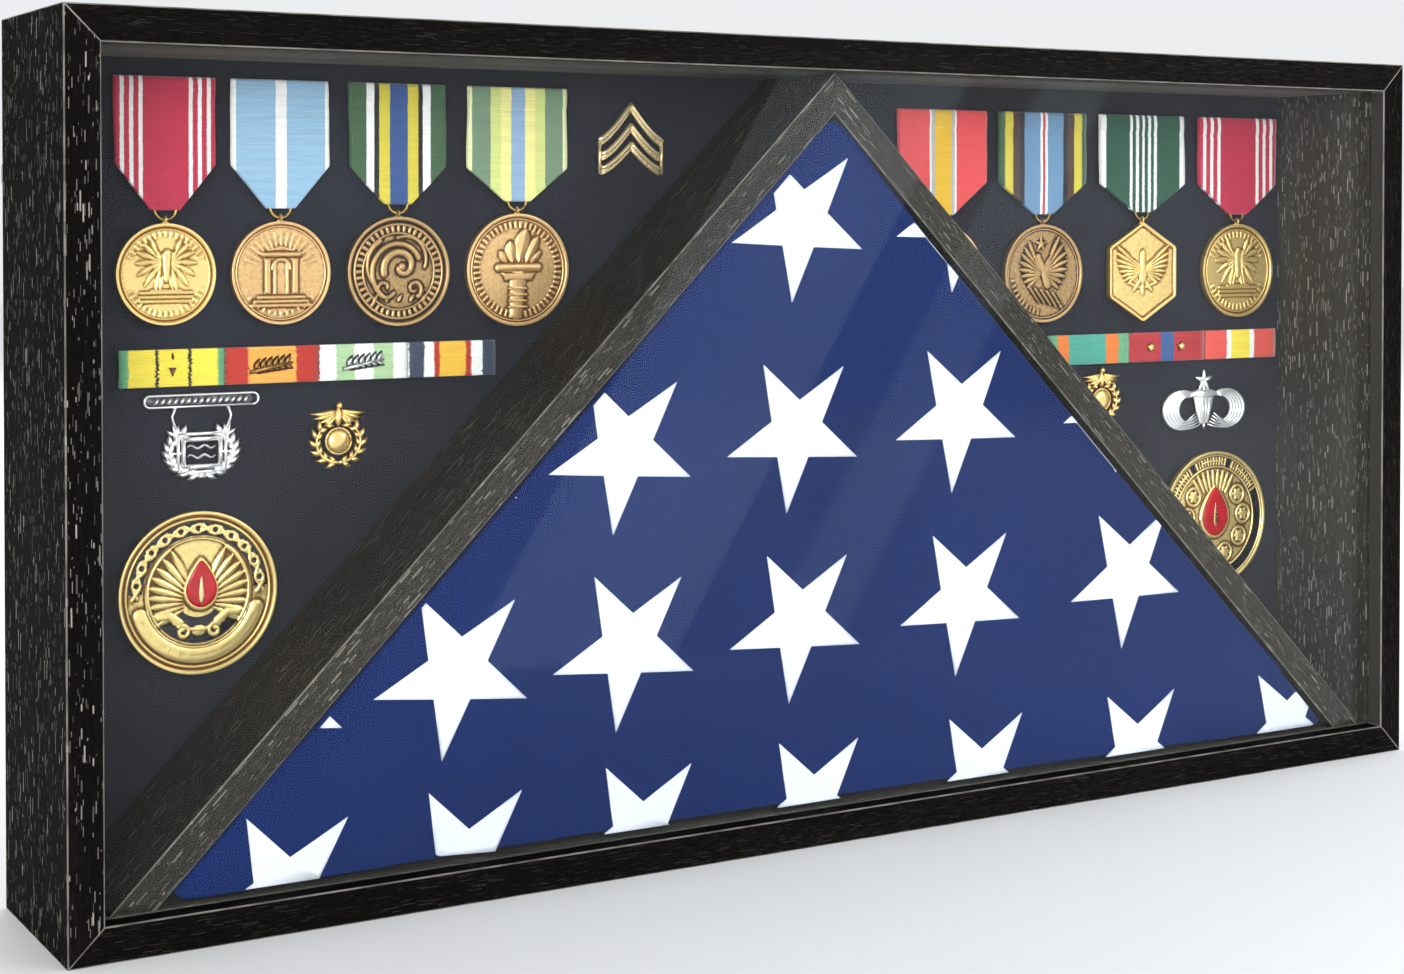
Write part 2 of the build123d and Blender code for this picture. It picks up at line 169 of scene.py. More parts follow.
class Paint:
    """A Principled material, with short calls for the nodes that feed it."""

    def __init__(self, name, metallic=0.0, roughness=0.5, specular=0.5, sheen=0.0, coat=0.0):
        self.material = bpy.data.materials.new(name)
        self.material.use_nodes = True
        self.tree = self.material.node_tree
        self.shader = self.tree.nodes["Principled BSDF"]
        inputs = self.shader.inputs
        inputs["Metallic"].default_value = metallic
        inputs["Roughness"].default_value = roughness
        inputs["Specular IOR Level"].default_value = specular
        inputs["Sheen Weight"].default_value = sheen
        inputs["Coat Weight"].default_value = coat
        self.place = self.add("ShaderNodeTexCoord").outputs["Object"]

    def add(self, kind, feeds=None, **settings):
        """A node with its settings; feeds gives inputs, by name or number, a value or an output."""
        node = self.tree.nodes.new(kind)
        for key, value in settings.items():
            setattr(node, key, value)
        for key, value in (feeds or {}).items():
            self.feed(node, key, value)
        return node

    def feed(self, node, key, value):
        """Sets an input to a value, or links it to an output."""
        if is_output(value):
            self.tree.links.new(value, node.inputs[key])
        else:
            node.inputs[key].default_value = value

    def colour(self, value):
        """The base colour: an output, or red, green and blue."""
        self.feed(self.shader, "Base Color", tinted(value))

    def rough(self, value):
        self.feed(self.shader, "Roughness", value)

    def mapped(self, scale, rotation=(0, 0, 0), vector=None):
        """Object coordinates, or another vector, scaled (per metre) and turned."""
        feeds = {"Vector": vector or self.place, "Rotation": rotation, "Scale": scale}
        return self.add("ShaderNodeMapping", feeds).outputs["Vector"]

    def axes(self, vector=None):
        """The X, Y and Z of object coordinates, or of another vector."""
        return self.add("ShaderNodeSeparateXYZ", {"Vector": vector or self.place}).outputs

    def normal_axes(self):
        """The X, Y and Z of the surface's direction."""
        return self.axes(self.add("ShaderNodeNewGeometry").outputs["True Normal"])

    def noise(self, vector, detail=2.0, roughness=0.5):
        feeds = {"Vector": vector, "Scale": 1.0, "Detail": detail, "Roughness": roughness}
        return self.add("ShaderNodeTexNoise", feeds).outputs["Fac"]

    def spread(self, value, low, high, to_low=0.0, to_high=1.0):
        """A value's range from low to high, spread smoothly over another range."""
        feeds = {"Value": value, "From Min": low, "From Max": high, "To Min": to_low, "To Max": to_high}
        return self.add("ShaderNodeMapRange", feeds, interpolation_type="SMOOTHSTEP").outputs["Result"]

    def calc(self, operation, *values):
        """A sum of one, two or three numbers or outputs."""
        return self.add("ShaderNodeMath", dict(enumerate(values)), operation=operation).outputs["Value"]

    def times(self, first, second):
        return self.calc("MULTIPLY", first, second)

    def plus(self, first, second):
        return self.calc("ADD", first, second)

    def mix(self, share, first, second):
        """One colour mixed into another."""
        feeds = {"Factor": share, 6: tinted(first), 7: tinted(second)}
        return self.add("ShaderNodeMix", feeds, data_type="RGBA").outputs[2]

    def bump(self, height, distance, strength, below=None):
        """A bump of a height in metres; below is another bump, under this one."""
        feeds = {"Strength": strength, "Distance": distance, "Height": height}
        if below is not None:
            feeds["Normal"] = below
        normal = self.add("ShaderNodeBump", feeds).outputs["Normal"]
        self.feed(self.shader, "Normal", normal)
        return normal


UPRIGHT_GRAIN = (0, 0, 0)
LEVEL_GRAIN = (0, math.radians(90), 0)
RISING_GRAIN = (0, math.radians(-45), 0)
FALLING_GRAIN = (0, math.radians(45), 0)
LONG_PORE, SHORT_PORE = 9 * MM, 5 * MM
LIP_WIDTH = 12.7 * MM
MITRE_LENGTH, MITRE_HALF_WIDTH = 13.2 * MM, 0.35 * MM
RIB_PITCH = 0.85 * MM


def dashes(paint, vector, wide, long, share):
    """Short thin dashes scattered along Z of a vector: 1 on a dash, elsewhere 0."""
    axes = paint.axes(vector)
    waver = paint.noise(paint.mapped(cube(14), vector=vector), detail=0)
    across = paint.plus(paint.plus(axes["X"], axes["Y"]), paint.times(waver, 1.2 * MM))
    column = paint.calc("DIVIDE", across, wide)
    column_number = paint.calc("FLOOR", column)
    shift = paint.add("ShaderNodeTexWhiteNoise", {"W": column_number}, noise_dimensions="1D")
    along = paint.calc("DIVIDE", axes["Z"], long)
    along = paint.plus(along, paint.times(shift.outputs["Value"], 9))
    cell = paint.add("ShaderNodeCombineXYZ", {0: column_number, 1: paint.calc("FLOOR", along)}).outputs[0]
    chance = paint.add("ShaderNodeTexWhiteNoise", {"Vector": cell}, noise_dimensions="3D").outputs
    picks = paint.axes(chance["Color"])

    def off_middle(place):
        return paint.calc("ABSOLUTE", paint.calc("SUBTRACT", paint.calc("FRACT", place), 0.5))

    side = paint.spread(off_middle(column), 0.12, 0.34, 1.0, 0.0)
    reach = paint.times(picks["Y"], 0.45)
    end = paint.spread(paint.calc("SUBTRACT", reach, off_middle(along)), 0.0, 0.08)
    kept = paint.calc("LESS_THAN", chance["Value"], share)
    faint = paint.spread(picks["Z"], 0.0, 1.0, 0.25, 1.0)
    return paint.times(paint.times(side, end), paint.times(kept, faint))


def wood_foil(name, grain, dark, light, pore, pores, edge_highlight_and_wear=0.0, side_shade=1.0, lip_painted_light=None,
              pore_width=0.5 * MM, pore_share=0.26):
    """Black-brown oak foil: fine grain, short limed pores along the grain, and arrises lightened partly as
    wear, partly as painted edge highlights; where asked, painted light on the lip's inner face and painted
    shade on side faces.
    """
    paint = Paint(name, roughness=0.42, specular=0.0, coat=0.06)
    paint.shader.inputs["Coat Roughness"].default_value = 0.35
    turned = paint.mapped((1, 1, 1), grain)
    band = paint.noise(paint.mapped((60, 60, 4), vector=turned), detail=3)
    fibre = paint.noise(paint.mapped((1700, 1700, 240), vector=turned), detail=3, roughness=0.6)
    tone = paint.mix(paint.spread(fibre, 0.34, 0.66), dark, light)
    shade = tuple(0.75 * part for part in dark)
    tone = paint.mix(paint.spread(band, 0.4, 0.66, 0.0, 0.6), tone, shade)
    coarse = dashes(paint, turned, pore_width, LONG_PORE, pore_share)
    moved = paint.mapped((1.07, 0.93, 1.0), vector=turned)
    fine = dashes(paint, moved, 0.6 * pore_width, SHORT_PORE, 1.2 * pore_share)
    patch = paint.noise(paint.mapped((90, 90, 18), vector=turned), detail=2)
    streak = paint.calc("MAXIMUM", coarse, paint.times(fine, 0.6))
    streak = paint.times(streak, paint.spread(patch, 0.3, 0.6, 0.6 * pores, pores))
    tone = paint.mix(streak, tone, pore)
    # Painted shade: faces that do not face the front are darkened by side_shade, as if out of the light.
    if side_shade < 1:
        sideways = paint.calc("LESS_THAN", paint.calc("ABSOLUTE", paint.normal_axes()["Y"]), 0.5)
        tone = paint.mix(paint.times(sideways, 1 - side_shade), tone, (0.0, 0.0, 0.0))
    # Painted light: the inner face of the lip is given a lighter tone, as if lit.
    if lip_painted_light is not None:
        tone = paint.mix(paint.times(inner_lip(paint), 0.8), tone, lip_painted_light)
    # The arrises and mitres take the pale pore colour unevenly: partly wear, partly a painted edge
    # highlight.
    if edge_highlight_and_wear:
        highlight_and_wear_share = paint.spread(paint.noise(paint.mapped(cube(90)), detail=3), 0.3, 0.7, 0.4 * edge_highlight_and_wear, edge_highlight_and_wear)
        tone = paint.mix(paint.times(edge_highlights_and_wear_mask(paint), highlight_and_wear_share), tone, pore)
    paint.colour(tone)
    paint.rough(paint.spread(fibre, 0.25, 0.75, 0.36, 0.58))
    below = paint.bump(fibre, 0.04 * MM, 0.5)
    paint.bump(streak, 0.08 * MM, 0.5, below)
    return paint.material


def from_edges(paint):
    """How far a point lies inside the frame's left or right edge, and its top or bottom edge."""
    axes = paint.axes()
    from_side = paint.calc("SUBTRACT", cad_high.x, paint.calc("ABSOLUTE", axes["X"]))
    middle = (cad_low.z + cad_high.z) / 2
    off_middle = paint.calc("ABSOLUTE", paint.calc("SUBTRACT", axes["Z"], middle))
    return from_side, paint.calc("SUBTRACT", middle, off_middle)


def inner_lip(paint):
    """1 on the side of the lip that faces the opening, elsewhere 0."""
    return paint.calc("GREATER_THAN", paint.calc("MINIMUM", *from_edges(paint)), LIP_WIDTH)


def edge_highlights_and_wear_mask(paint):
    """1 on chamfered arrises and along the mitres on the front of the frame, elsewhere 0: where the wear
    and the painted edge highlights go.
    """
    slant = paint.calc("COMPARE", paint.calc("ABSOLUTE", paint.normal_axes()["Y"]), 0.7, 0.12)
    from_side, from_end = from_edges(paint)
    mitre = paint.calc("COMPARE", from_side, from_end, MITRE_HALF_WIDTH)
    mitre = paint.times(mitre, paint.calc("LESS_THAN", from_side, MITRE_LENGTH))
    return paint.calc("MAXIMUM", slant, mitre)


def cloth(name, dark, light, pitch, sheen):
    """Plain woven cloth with slight changes of tone; its threads cross every pitch metres."""
    paint = Paint(name, roughness=0.85, specular=0.08, sheen=sheen)
    axes = paint.axes()
    warp, weft = (paint.calc("SINE", paint.times(axes[axis], 2 * math.pi / pitch)) for axis in "XZ")
    weave = paint.plus(paint.times(warp, weft), paint.noise(paint.mapped(cube(400)), detail=2))
    paint.bump(weave, 0.06 * MM, 0.5)
    cloud = paint.noise(paint.mapped(cube(9)), detail=4)
    share = paint.plus(paint.times(paint.spread(weave, -0.4, 1.6), 0.35), paint.times(cloud, 0.65))
    paint.colour(paint.mix(paint.spread(share, 0.25, 0.75), dark, light))
    return paint.material


def felt(name, dark, light):
    """A soft, slightly fibrous backing cloth."""
    paint = Paint(name, roughness=0.95, specular=0.15, sheen=0.25)
    fibre = paint.noise(paint.mapped(cube(1400)), detail=4, roughness=0.7)
    cloud = paint.noise(paint.mapped(cube(14)), detail=3)
    share = paint.plus(paint.times(fibre, 0.6), paint.times(cloud, 0.4))
    paint.colour(paint.mix(paint.spread(share, 0.35, 0.65), dark, light))
    paint.bump(fibre, 0.4 * MM, 0.5)
    return paint.material


def clear_glass(name):
    """Low-reflection picture glass. Lamps' rays pass straight through it."""
    paint = Paint(name, roughness=0.0)
    inputs = paint.shader.inputs
    inputs["Transmission Weight"].default_value = 1.0
    inputs["IOR"].default_value = 1.2
    inputs["Base Color"].default_value = (0.97, 0.985, 0.98, 1)
    rays = paint.add("ShaderNodeLightPath")
    through = paint.add("ShaderNodeBsdfTransparent", {"Color": (0.95, 0.97, 0.96, 1)})
    feeds = {0: rays.outputs["Is Shadow Ray"], 1: paint.shader.outputs[0], 2: through.outputs[0]}
    blend = paint.add("ShaderNodeMixShader", feeds)
    output = next(n for n in paint.tree.nodes if n.type == "OUTPUT_MATERIAL")
    paint.feed(output, "Surface", blend.outputs[0])
    return paint.material


def struck_metal(name, bright, dark, low_rough, high_rough):
    """Struck metal: bright where it stands proud, dark with patina in the hollows."""
    paint = Paint(name, metallic=0.72, roughness=low_rough)
    hollow = paint.add("ShaderNodeAttribute", attribute_name="patina").outputs["Fac"]
    grime = paint.noise(paint.mapped(cube(700)), detail=4, roughness=0.6)
    share = paint.plus(hollow, paint.spread(grime, 0.3, 0.7, -0.12, 0.12))
    paint.colour(paint.mix(paint.spread(share, 0.1, 0.85), bright, dark))
    paint.rough(paint.spread(share, 0.0, 1.0, low_rough, high_rough))
    paint.bump(grime, 0.06 * MM, 0.35)
    return paint.material


def plain_metal(name, colour, tint, roughness):
    """Plated or bare sheet metal, finely tumbled."""
    paint = Paint(name, metallic=1.0, roughness=roughness)
    scratch = paint.noise(paint.mapped(cube(900)), detail=4)
    stain = paint.noise(paint.mapped(cube(120)), detail=3)
    paint.colour(paint.mix(paint.spread(stain, 0.35, 0.7), colour, tint))
    paint.rough(paint.spread(scratch, 0.3, 0.7, roughness * 0.75, roughness * 1.35))
    paint.bump(scratch, 0.05 * MM, 0.4)
    return paint.material


def enamel(name, deep, light):
    """Glossy translucent enamel, a little deeper in places."""
    paint = Paint(name, roughness=0.16, specular=0.35, coat=0.3)
    cloud = paint.noise(paint.mapped(cube(260)), detail=3)
    paint.colour(paint.mix(paint.spread(cloud, 0.3, 0.7), deep, light))
    paint.bump(cloud, 0.1 * MM, 0.25)
    return paint.material


def fibre_board(name, dark, light):
    """Hardboard: fine pressed fibres on a smooth, dull face."""
    paint = Paint(name, roughness=0.7, specular=0.3)
    fibre = paint.noise(paint.mapped((300, 300, 1100)), detail=5, roughness=0.65)
    fleck = paint.noise(paint.mapped((900, 900, 240)), detail=3)
    paint.colour(paint.mix(paint.spread(fibre, 0.3, 0.7), dark, light))
    paint.rough(paint.spread(fleck, 0.3, 0.7, 0.55, 0.8))
    paint.bump(fibre, 0.1 * MM, 0.4)
    return paint.material


def foam(name, colour, light):
    """Fine closed-cell foam."""
    paint = Paint(name, roughness=0.9, specular=0.2)
    cells = paint.add("ShaderNodeTexVoronoi", {"Vector": paint.mapped(cube(1500))}, feature="F1")
    paint.colour(paint.mix(cells.outputs["Distance"], light, colour))
    paint.bump(cells.outputs["Distance"], 0.2 * MM, 0.6)
    return paint.material


def striped(name, left, width, stripes):
    """Ribbed ribbon with upright stripes. Each stripe is (its share of the width, colour)."""
    paint = Paint(name, roughness=0.62, specular=0.35, sheen=0.35)
    axes = paint.axes()
    across = paint.calc("DIVIDE", paint.calc("SUBTRACT", axes["X"], left), width)
    ragged = paint.noise(paint.mapped((300, 300, 3000)), detail=1)
    across = paint.plus(across, paint.spread(ragged, 0.2, 0.8, -0.004, 0.004))
    ramp = paint.add("ShaderNodeValToRGB", {0: across})
    ramp.color_ramp.interpolation = "CONSTANT"
    elements = ramp.color_ramp.elements
    start = 0.0
    for index, (share, colour) in enumerate(stripes):
        stop = elements[index] if index < 2 else elements.new(start)
        stop.position = start
        stop.color = (*colour, 1)
        start += share
    rib = paint.calc("SINE", paint.times(axes["Z"], 2 * math.pi / RIB_PITCH))
    slub = paint.noise(paint.mapped((60, 60, 1500)), detail=3)
    tone = paint.spread(paint.plus(paint.times(rib, 0.1), slub), 0.3, 0.75)
    paint.colour(paint.mix(paint.times(tone, 0.15), ramp.outputs["Color"], (0.0, 0.0, 0.0)))
    paint.bump(paint.plus(rib, paint.times(slub, 1.5)), 0.1 * MM, 0.45)
    return paint.material


# ---------------------------------------------------------------- mesh helpers

def ring_faces(first, count, rings):
    """Faces between rings of count points that follow one another, from a first point on."""
    faces = []
    for a in range(first, first + (rings - 1) * count, count):
        for i in range(count):
            after = (i + 1) % count
            faces.append((a + i, a + after, a + count + after, a + count + i))
    return faces


def fan(middle, first, count):
    """Triangles from a middle point to a ring of points."""
    return [(middle, first + (i + 1) % count, first + i) for i in range(count)]


def grid_faces(rows, columns, first=0):
    """Faces of a grid whose points run along each row in turn."""
    wide = columns + 1
    corners = [first + row * wide + column for row in range(rows) for column in range(columns)]
    return [(a, a + 1, a + wide + 1, a + wide) for a in corners]


def turned_over(faces):
    """The same faces, looking the other way."""
    return [face[::-1] for face in faces]


def add_piece(name, points, faces, materials, body, replaced=None, marks=None,
              patina=None):
    """A mesh piece that rides on a body, and may stand for a CAD node."""
    mesh = bpy.data.meshes.new(name)
    mesh.from_pydata([tuple(p) for p in points], [], [tuple(f) for f in faces])
    for material in materials:
        mesh.materials.append(material)
    if marks is not None:
        mesh.polygons.foreach_set("material_index", marks)
    if patina is not None:
        attribute = mesh.attributes.new("patina", "FLOAT", "POINT")
        attribute.data.foreach_set("value", patina)
    mesh.polygons.foreach_set("use_smooth", [True] * len(mesh.polygons))
    mesh.update()
    obj = add_object(name, mesh)
    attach(obj, body)
    if replaced:
        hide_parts(replaced)
    return obj


def srgb(red, green, blue):
    """Linear red, green and blue for a screen colour given from 0 to 255."""
    return tuple(((c / 255 + 0.055) / 1.055) ** 2.4 if c > 10 else c / 3295 for c in (red, green, blue))


def dress(material, *names):
    """Gives CAD nodes a material."""
    for name in names:
        slots = nodes[name].data.materials
        slots.clear()
        slots.append(material)


# ---------------------------------------------------------------- the case

def dress_case():
    """Materials for the frame, its liners, the dividers, the glass, the back and the hardware."""
    black, brown, lime = srgb(9, 8, 7), srgb(22, 19, 17), srgb(186, 180, 170)
    # Painted light: a lighter tone on the inner faces of the left, right and top rails' lips, as if they
    # were lit.
    lip_painted_light = srgb(80, 78, 74)
    for side, grain, pores, looks in (
            ("left", UPRIGHT_GRAIN, 0.8, {"pore_width": 1.0 * MM, "pore_share": 0.15}),
            ("right", UPRIGHT_GRAIN, 0.08, {}), ("top", LEVEL_GRAIN, 0.05, {})):
        foil = wood_foil(f"frame_foil_{side}", grain, black, brown, lime, pores, 0.5, lip_painted_light=lip_painted_light,
                         **looks)
        dress(foil, f"frame_{side}")
    dress(wood_foil("frame_foil_bottom", LEVEL_GRAIN, black, brown, lime, 0.06, 0.45), "frame_bottom")

    dark, light, pore = srgb(60, 58, 54), srgb(68, 66, 61), srgb(206, 202, 192)
    dress(wood_foil("liner_foil_upright", UPRIGHT_GRAIN, dark, light, pore, 0.55, pore_width=1.5 * MM,
                    pore_share=0.3), "liner_left", "liner_right")
    # Painted light: the top and bottom liners are lit copies of the one liner foil, painted lighter than
    # the upright ones, the top one most.
    for side, *tones in (("top", srgb(96, 94, 90), srgb(124, 121, 116), srgb(178, 176, 170)),
                         ("bottom", srgb(74, 74, 70), srgb(98, 96, 91), srgb(150, 146, 138))):
        dress(wood_foil(f"liner_foil_{side}", LEVEL_GRAIN, *tones, 0.4), f"liner_{side}")

    dark, light, pore = srgb(41, 38, 34), srgb(60, 57, 52), srgb(170, 164, 152)
    for side, grain in (("left", RISING_GRAIN), ("right", FALLING_GRAIN)):
        # The dividers' side faces get painted shade, darker than their fronts.
        dress(wood_foil(f"divider_foil_{side}", grain, dark, light, pore, 0.5, 0.4, side_shade=0.55,
                        pore_width=1.3 * MM), f"divider_{side}")

    dress(clear_glass("picture_glass"), "glass_pane")
    dress(fibre_board("hardboard", srgb(70, 64, 58), srgb(96, 88, 80)), "back_panel")
    dress(foam("black_foam", srgb(38, 38, 40), srgb(62, 62, 64)), "pin_board")
    zinc = plain_metal("zinc_plate", srgb(196, 198, 200), srgb(168, 170, 176), 0.34)
    dress(zinc, *[f"turn_button_{number}" for number in range(1, 7)])
    dress(zinc, "hanger_plate_left", "hanger_plate_right", "hanger_ring_left", "hanger_ring_right")
    steel = plain_metal("screw_steel", srgb(206, 204, 198), srgb(176, 172, 160), 0.26)
    dress(steel, "turn_button_screws", "hanger_screws", "corner_nails")
    brass = plain_metal("pin_brass", srgb(214, 178, 98), srgb(178, 140, 70), 0.3)
    dress(brass, "medal_brooches", "ribbon_bar_carriers", "medal_rings")
    dress(foam("sticky_foam", srgb(210, 210, 206), srgb(236, 236, 232)), "coin_pads")


# ---------------------------------------------------------------- the flag

FLAG_EDGE_RADIUS = 3 * MM
FLAG_FRONT_INSET = 3 * MM
FLAG_SIDE_INSET = 1.5 * MM
FLAG_ROUNDING = 1.9 * MM
FLAG_VOXEL, FLAG_PRESSURE, FLAG_SWELL = 5 * MM, 4, 4.5 * MM
FLAG_ROOM = 0.3 * MM
FLAG_TIP, FLAG_TIP_REACH = 24 * MM, 1.6 * MM
# The stars, in millimetres; their turn is in degrees, and grows by STAR_SKEW for each one across.
# Only the depth of their skirt is in metres, like the other lengths with an MM.
STAR_RADIUS = 33.4
STAR_WAIST = 0.385
STAR_SKEW = 0.014
CLOTH_LEAN = 0.09
STAR_BORDER = 1.3
STAR_SPACING, STAR_ROW_GAP = 3.2, 2.8
STAR_SKIRT = 0.9 * MM
# Height of each row at the middle, how much it climbs per millimetre, how far its stars are
# turned, and the places across. The cloth lies a little askew in its folds.
STAR_ROWS = (
    (13.5, 0.008, 51, (-302, -239.5, -168, -92, -11, 76, 164.5, 257)),
    (91.3, 0.033, 51, (-246, -171, -97, -17, 67, 159)),
    (169.8, 0.041, 51.5, (-175, -98.5, -18.5, 64.5, 155)),
    (256, 0.035, 51.5, (-16, 65)),
)


def rounded_triangle(corners, radius, steps=5):
    """Points round a triangle with its corners rounded to a radius."""
    points = []
    for index, corner in enumerate(corners):
        corner = Vector(corner)
        before = (Vector(corners[index - 1]) - corner).normalized()
        after = (Vector(corners[(index + 1) % 3]) - corner).normalized()
        half = before.angle(after) / 2
        bisector = (before + after).normalized()
        centre = corner + bisector * (radius / math.sin(half))
        start = corner + before * (radius / math.tan(half))
        end = corner + after * (radius / math.tan(half))
        for step in range(steps + 1):
            point = start.lerp(end, step / steps)
            points.append(centre + (point - centre).normalized() * radius)
    return points


def sides_of(corners):
    """The sides of a closed outline, each from one corner to the next."""
    return zip(corners, corners[1:] + corners[:1])


def inside(point, corners):
    """Whether a point is inside a polygon whose corners run anticlockwise or clockwise."""
    found = False
    for (ax, ay), (bx, by) in sides_of(corners):
        if (ay > point[1]) != (by > point[1]):
            if point[0] < (bx - ax) * (point[1] - ay) / (by - ay) + ax:
                found = not found
    return found


def edge_distance(point, corners):
    """The distance from a point to the nearest side of a polygon."""
    best = 1e9
    for a, b in sides_of(corners):
        a, b = Vector(a), Vector(b)
        side = b - a
        along = max(0.0, min(1.0, (Vector(point) - a).dot(side) / max(side.length_squared, 1e-12)))
        best = min(best, (Vector(point) - a - side * along).length)
    return best


def clipped(polygon, corners):
    """A polygon cut off along the sides of a convex one, whose corners run anticlockwise."""
    for a, b in sides_of(corners):
        result = []

        def side(p):
            return (b[0] - a[0]) * (p[1] - a[1]) - (b[1] - a[1]) * (p[0] - a[0])

        for p, q in sides_of(polygon):
            at_p, at_q = side(p), side(q)
            if at_p >= 0:
                result.append(p)
            if at_p * at_q < 0:
                share = at_p / (at_p - at_q)
                result.append((p[0] + (q[0] - p[0]) * share, p[1] + (q[1] - p[1]) * share))
        polygon = result
        if len(polygon) < 3:
            return []
    return polygon


def star_outline(across, up, radius, tilt, waist=STAR_WAIST, lean=0.0):
    """The ten corners of a five-pointed star, turned by a tilt in degrees and leaning with the cloth."""
    corners = []
    for index in range(10):
        reach = radius * (1 if index % 2 == 0 else waist)
        turn = math.radians(tilt + 36 * index)
        rise = reach * math.sin(turn)
        corners.append((across + reach * math.cos(turn) + lean * rise, up + rise))
    return corners


def swollen(obj, pressure, cap):
    """Blows a closed mesh up as cloth, and softly caps how far its points move."""
    mesh = obj.data
    start = np.empty(len(mesh.vertices) * 3)
    mesh.vertices.foreach_get("co", start)
    modifier = obj.modifiers.new("cloth", "CLOTH")
    settings = modifier.settings
    settings.use_pressure = True
    settings.uniform_pressure_force = pressure
    settings.effector_weights.gravity = 0
    scene = bpy.context.scene
    for frame_number in range(1, 21):
        scene.frame_set(frame_number)
    evaluated = obj.evaluated_get(bpy.context.evaluated_depsgraph_get())
    end = np.empty_like(start)
    evaluated.data.vertices.foreach_get("co", end)
    obj.modifiers.remove(modifier)
    scene.frame_set(1)
    move = (end - start).reshape(-1, 3)
    length = np.linalg.norm(move, axis=1, keepdims=True)
    move *= cap / (cap + length)
    mesh.vertices.foreach_set("co", start + move.ravel())
    mesh.update()


def with_modifiers(obj):
    """A new mesh of an object with its modifiers applied."""
    evaluated = obj.evaluated_get(bpy.context.evaluated_depsgraph_get())
    return bpy.data.meshes.new_from_object(evaluated)


def flag_body(outline, front, back):
    """The folded flag without its stars: a soft padded triangle, puffed up as cloth."""
    count = len(outline)
    points = [(x, front, z) for x, z in outline] + [(x, back, z) for x, z in outline]
    faces = [tuple(range(count)), tuple(range(2 * count - 1, count - 1, -1))]
    faces += turned_over(ring_faces(0, count, 2))
    mesh = bpy.data.meshes.new("flag_body")
    mesh.from_pydata(points, [], faces)
    obj = add_object("flag_body", mesh)
    remesh = obj.modifiers.new("remesh", "REMESH")
    remesh.mode = "VOXEL"
    remesh.voxel_size = FLAG_VOXEL
    obj.data = with_modifiers(obj)
    obj.modifiers.clear()
    swollen(obj, FLAG_PRESSURE, FLAG_SWELL)
    smooth = obj.modifiers.new("smooth", "SMOOTH")
    smooth.factor = 0.5
    smooth.iterations = 3
    subdivision = obj.modifiers.new("subdivision", "SUBSURF")
    subdivision.levels = 1
    mesh = with_modifiers(obj)
    bpy.data.objects.remove(obj)
    return mesh


def fill_compartment(mesh, low, high, corners):
    """Eases the flag out until it meets the sides, the foot and the front of its compartment."""
    places = np.empty(len(mesh.vertices) * 3)
    mesh.vertices.foreach_get("co", places)
    places = places.reshape(-1, 3)
    least, most = places.min(0), places.max(0)
    places[:, 0] *= (high.x - FLAG_ROOM) / max(-least[0], most[0])
    stretch = (high.z - low.z - 2 * FLAG_ROOM) / (most[2] - least[2])
    foot = low.z + FLAG_ROOM
    places[:, 2] = foot + (places[:, 2] - least[2]) * stretch
    tip = np.clip((np.abs(places[:, 0]) - high.x + FLAG_TIP) / FLAG_TIP, 0, 1)
    places[:, 0] += np.sign(places[:, 0]) * FLAG_TIP_REACH * tip ** 2
    slope_line = corners[0][1] + corners[0][0] - np.abs(places[:, 0])
    kept_in = np.minimum(places[:, 2], np.maximum(slope_line, foot))
    places[:, 2] = np.where(tip > 0, kept_in, places[:, 2])
    nearest = np.full(len(places), 1.0)
    for a, b in sides_of(corners):
        normal = Vector((b[1] - a[1], a[0] - b[0])).normalized()
        gap = (a[0] - places[:, 0]) * normal.x + (a[1] - places[:, 2]) * normal.y
        nearest = np.minimum(nearest, np.abs(gap))
    swell = places[:, 1] - np.median(places[places[:, 1] < least[1] + 6 * MM, 1])
    short = np.clip(1 - nearest / FLAG_ROUNDING, 0, 1)
    rounded = FLAG_ROUNDING * (1 - np.sqrt(1 - short ** 2))
    pressed = low.y + 0.7 * MM + rounded + 0.25 * np.clip(swell, -2 * MM, 2 * MM)
    front_share = np.clip((low.y + 22 * MM - places[:, 1]) / (8 * MM), 0, 1)
    places[:, 1] += front_share * (pressed - places[:, 1])
    mesh.vertices.foreach_set("co", places.ravel())
    mesh.update()


def triangle_over(foot, apex):
    """The corners of a right-angled triangle that stands on its long side."""
    return [(apex - foot, foot), (0, apex), (foot - apex, foot)]


def star_mesh(outer, border, centre):
    """Points and triangles over a star: its outline, a line along its border, and a fine grid."""
    points = [Vector(corner) for corner in outer]
    for a, b in sides_of(border):
        for step in range(6):
            point = (a[0] + (b[0] - a[0]) * step / 6, a[1] + (b[1] - a[1]) * step / 6)
            if inside(point, outer) and edge_distance(point, outer) > 0.7:
                points.append(Vector(point))
    reach = int(STAR_RADIUS / STAR_SPACING) + 1
    for column in range(-reach, reach + 1):
        for row in range(-reach, reach + 1):
            point = (centre[0] + (column + 0.5 * (row % 2)) * STAR_SPACING, centre[1] + row * STAR_ROW_GAP)
            if inside(point, outer) and edge_distance(point, outer) > STAR_BORDER + 0.9:
                points.append(Vector(point))
    ring = list(range(len(outer)))
    flat, _, triangles, _, _, _ = delaunay_2d_cdt(points, [], [ring], 1, 1e-4)
    return flat, triangles


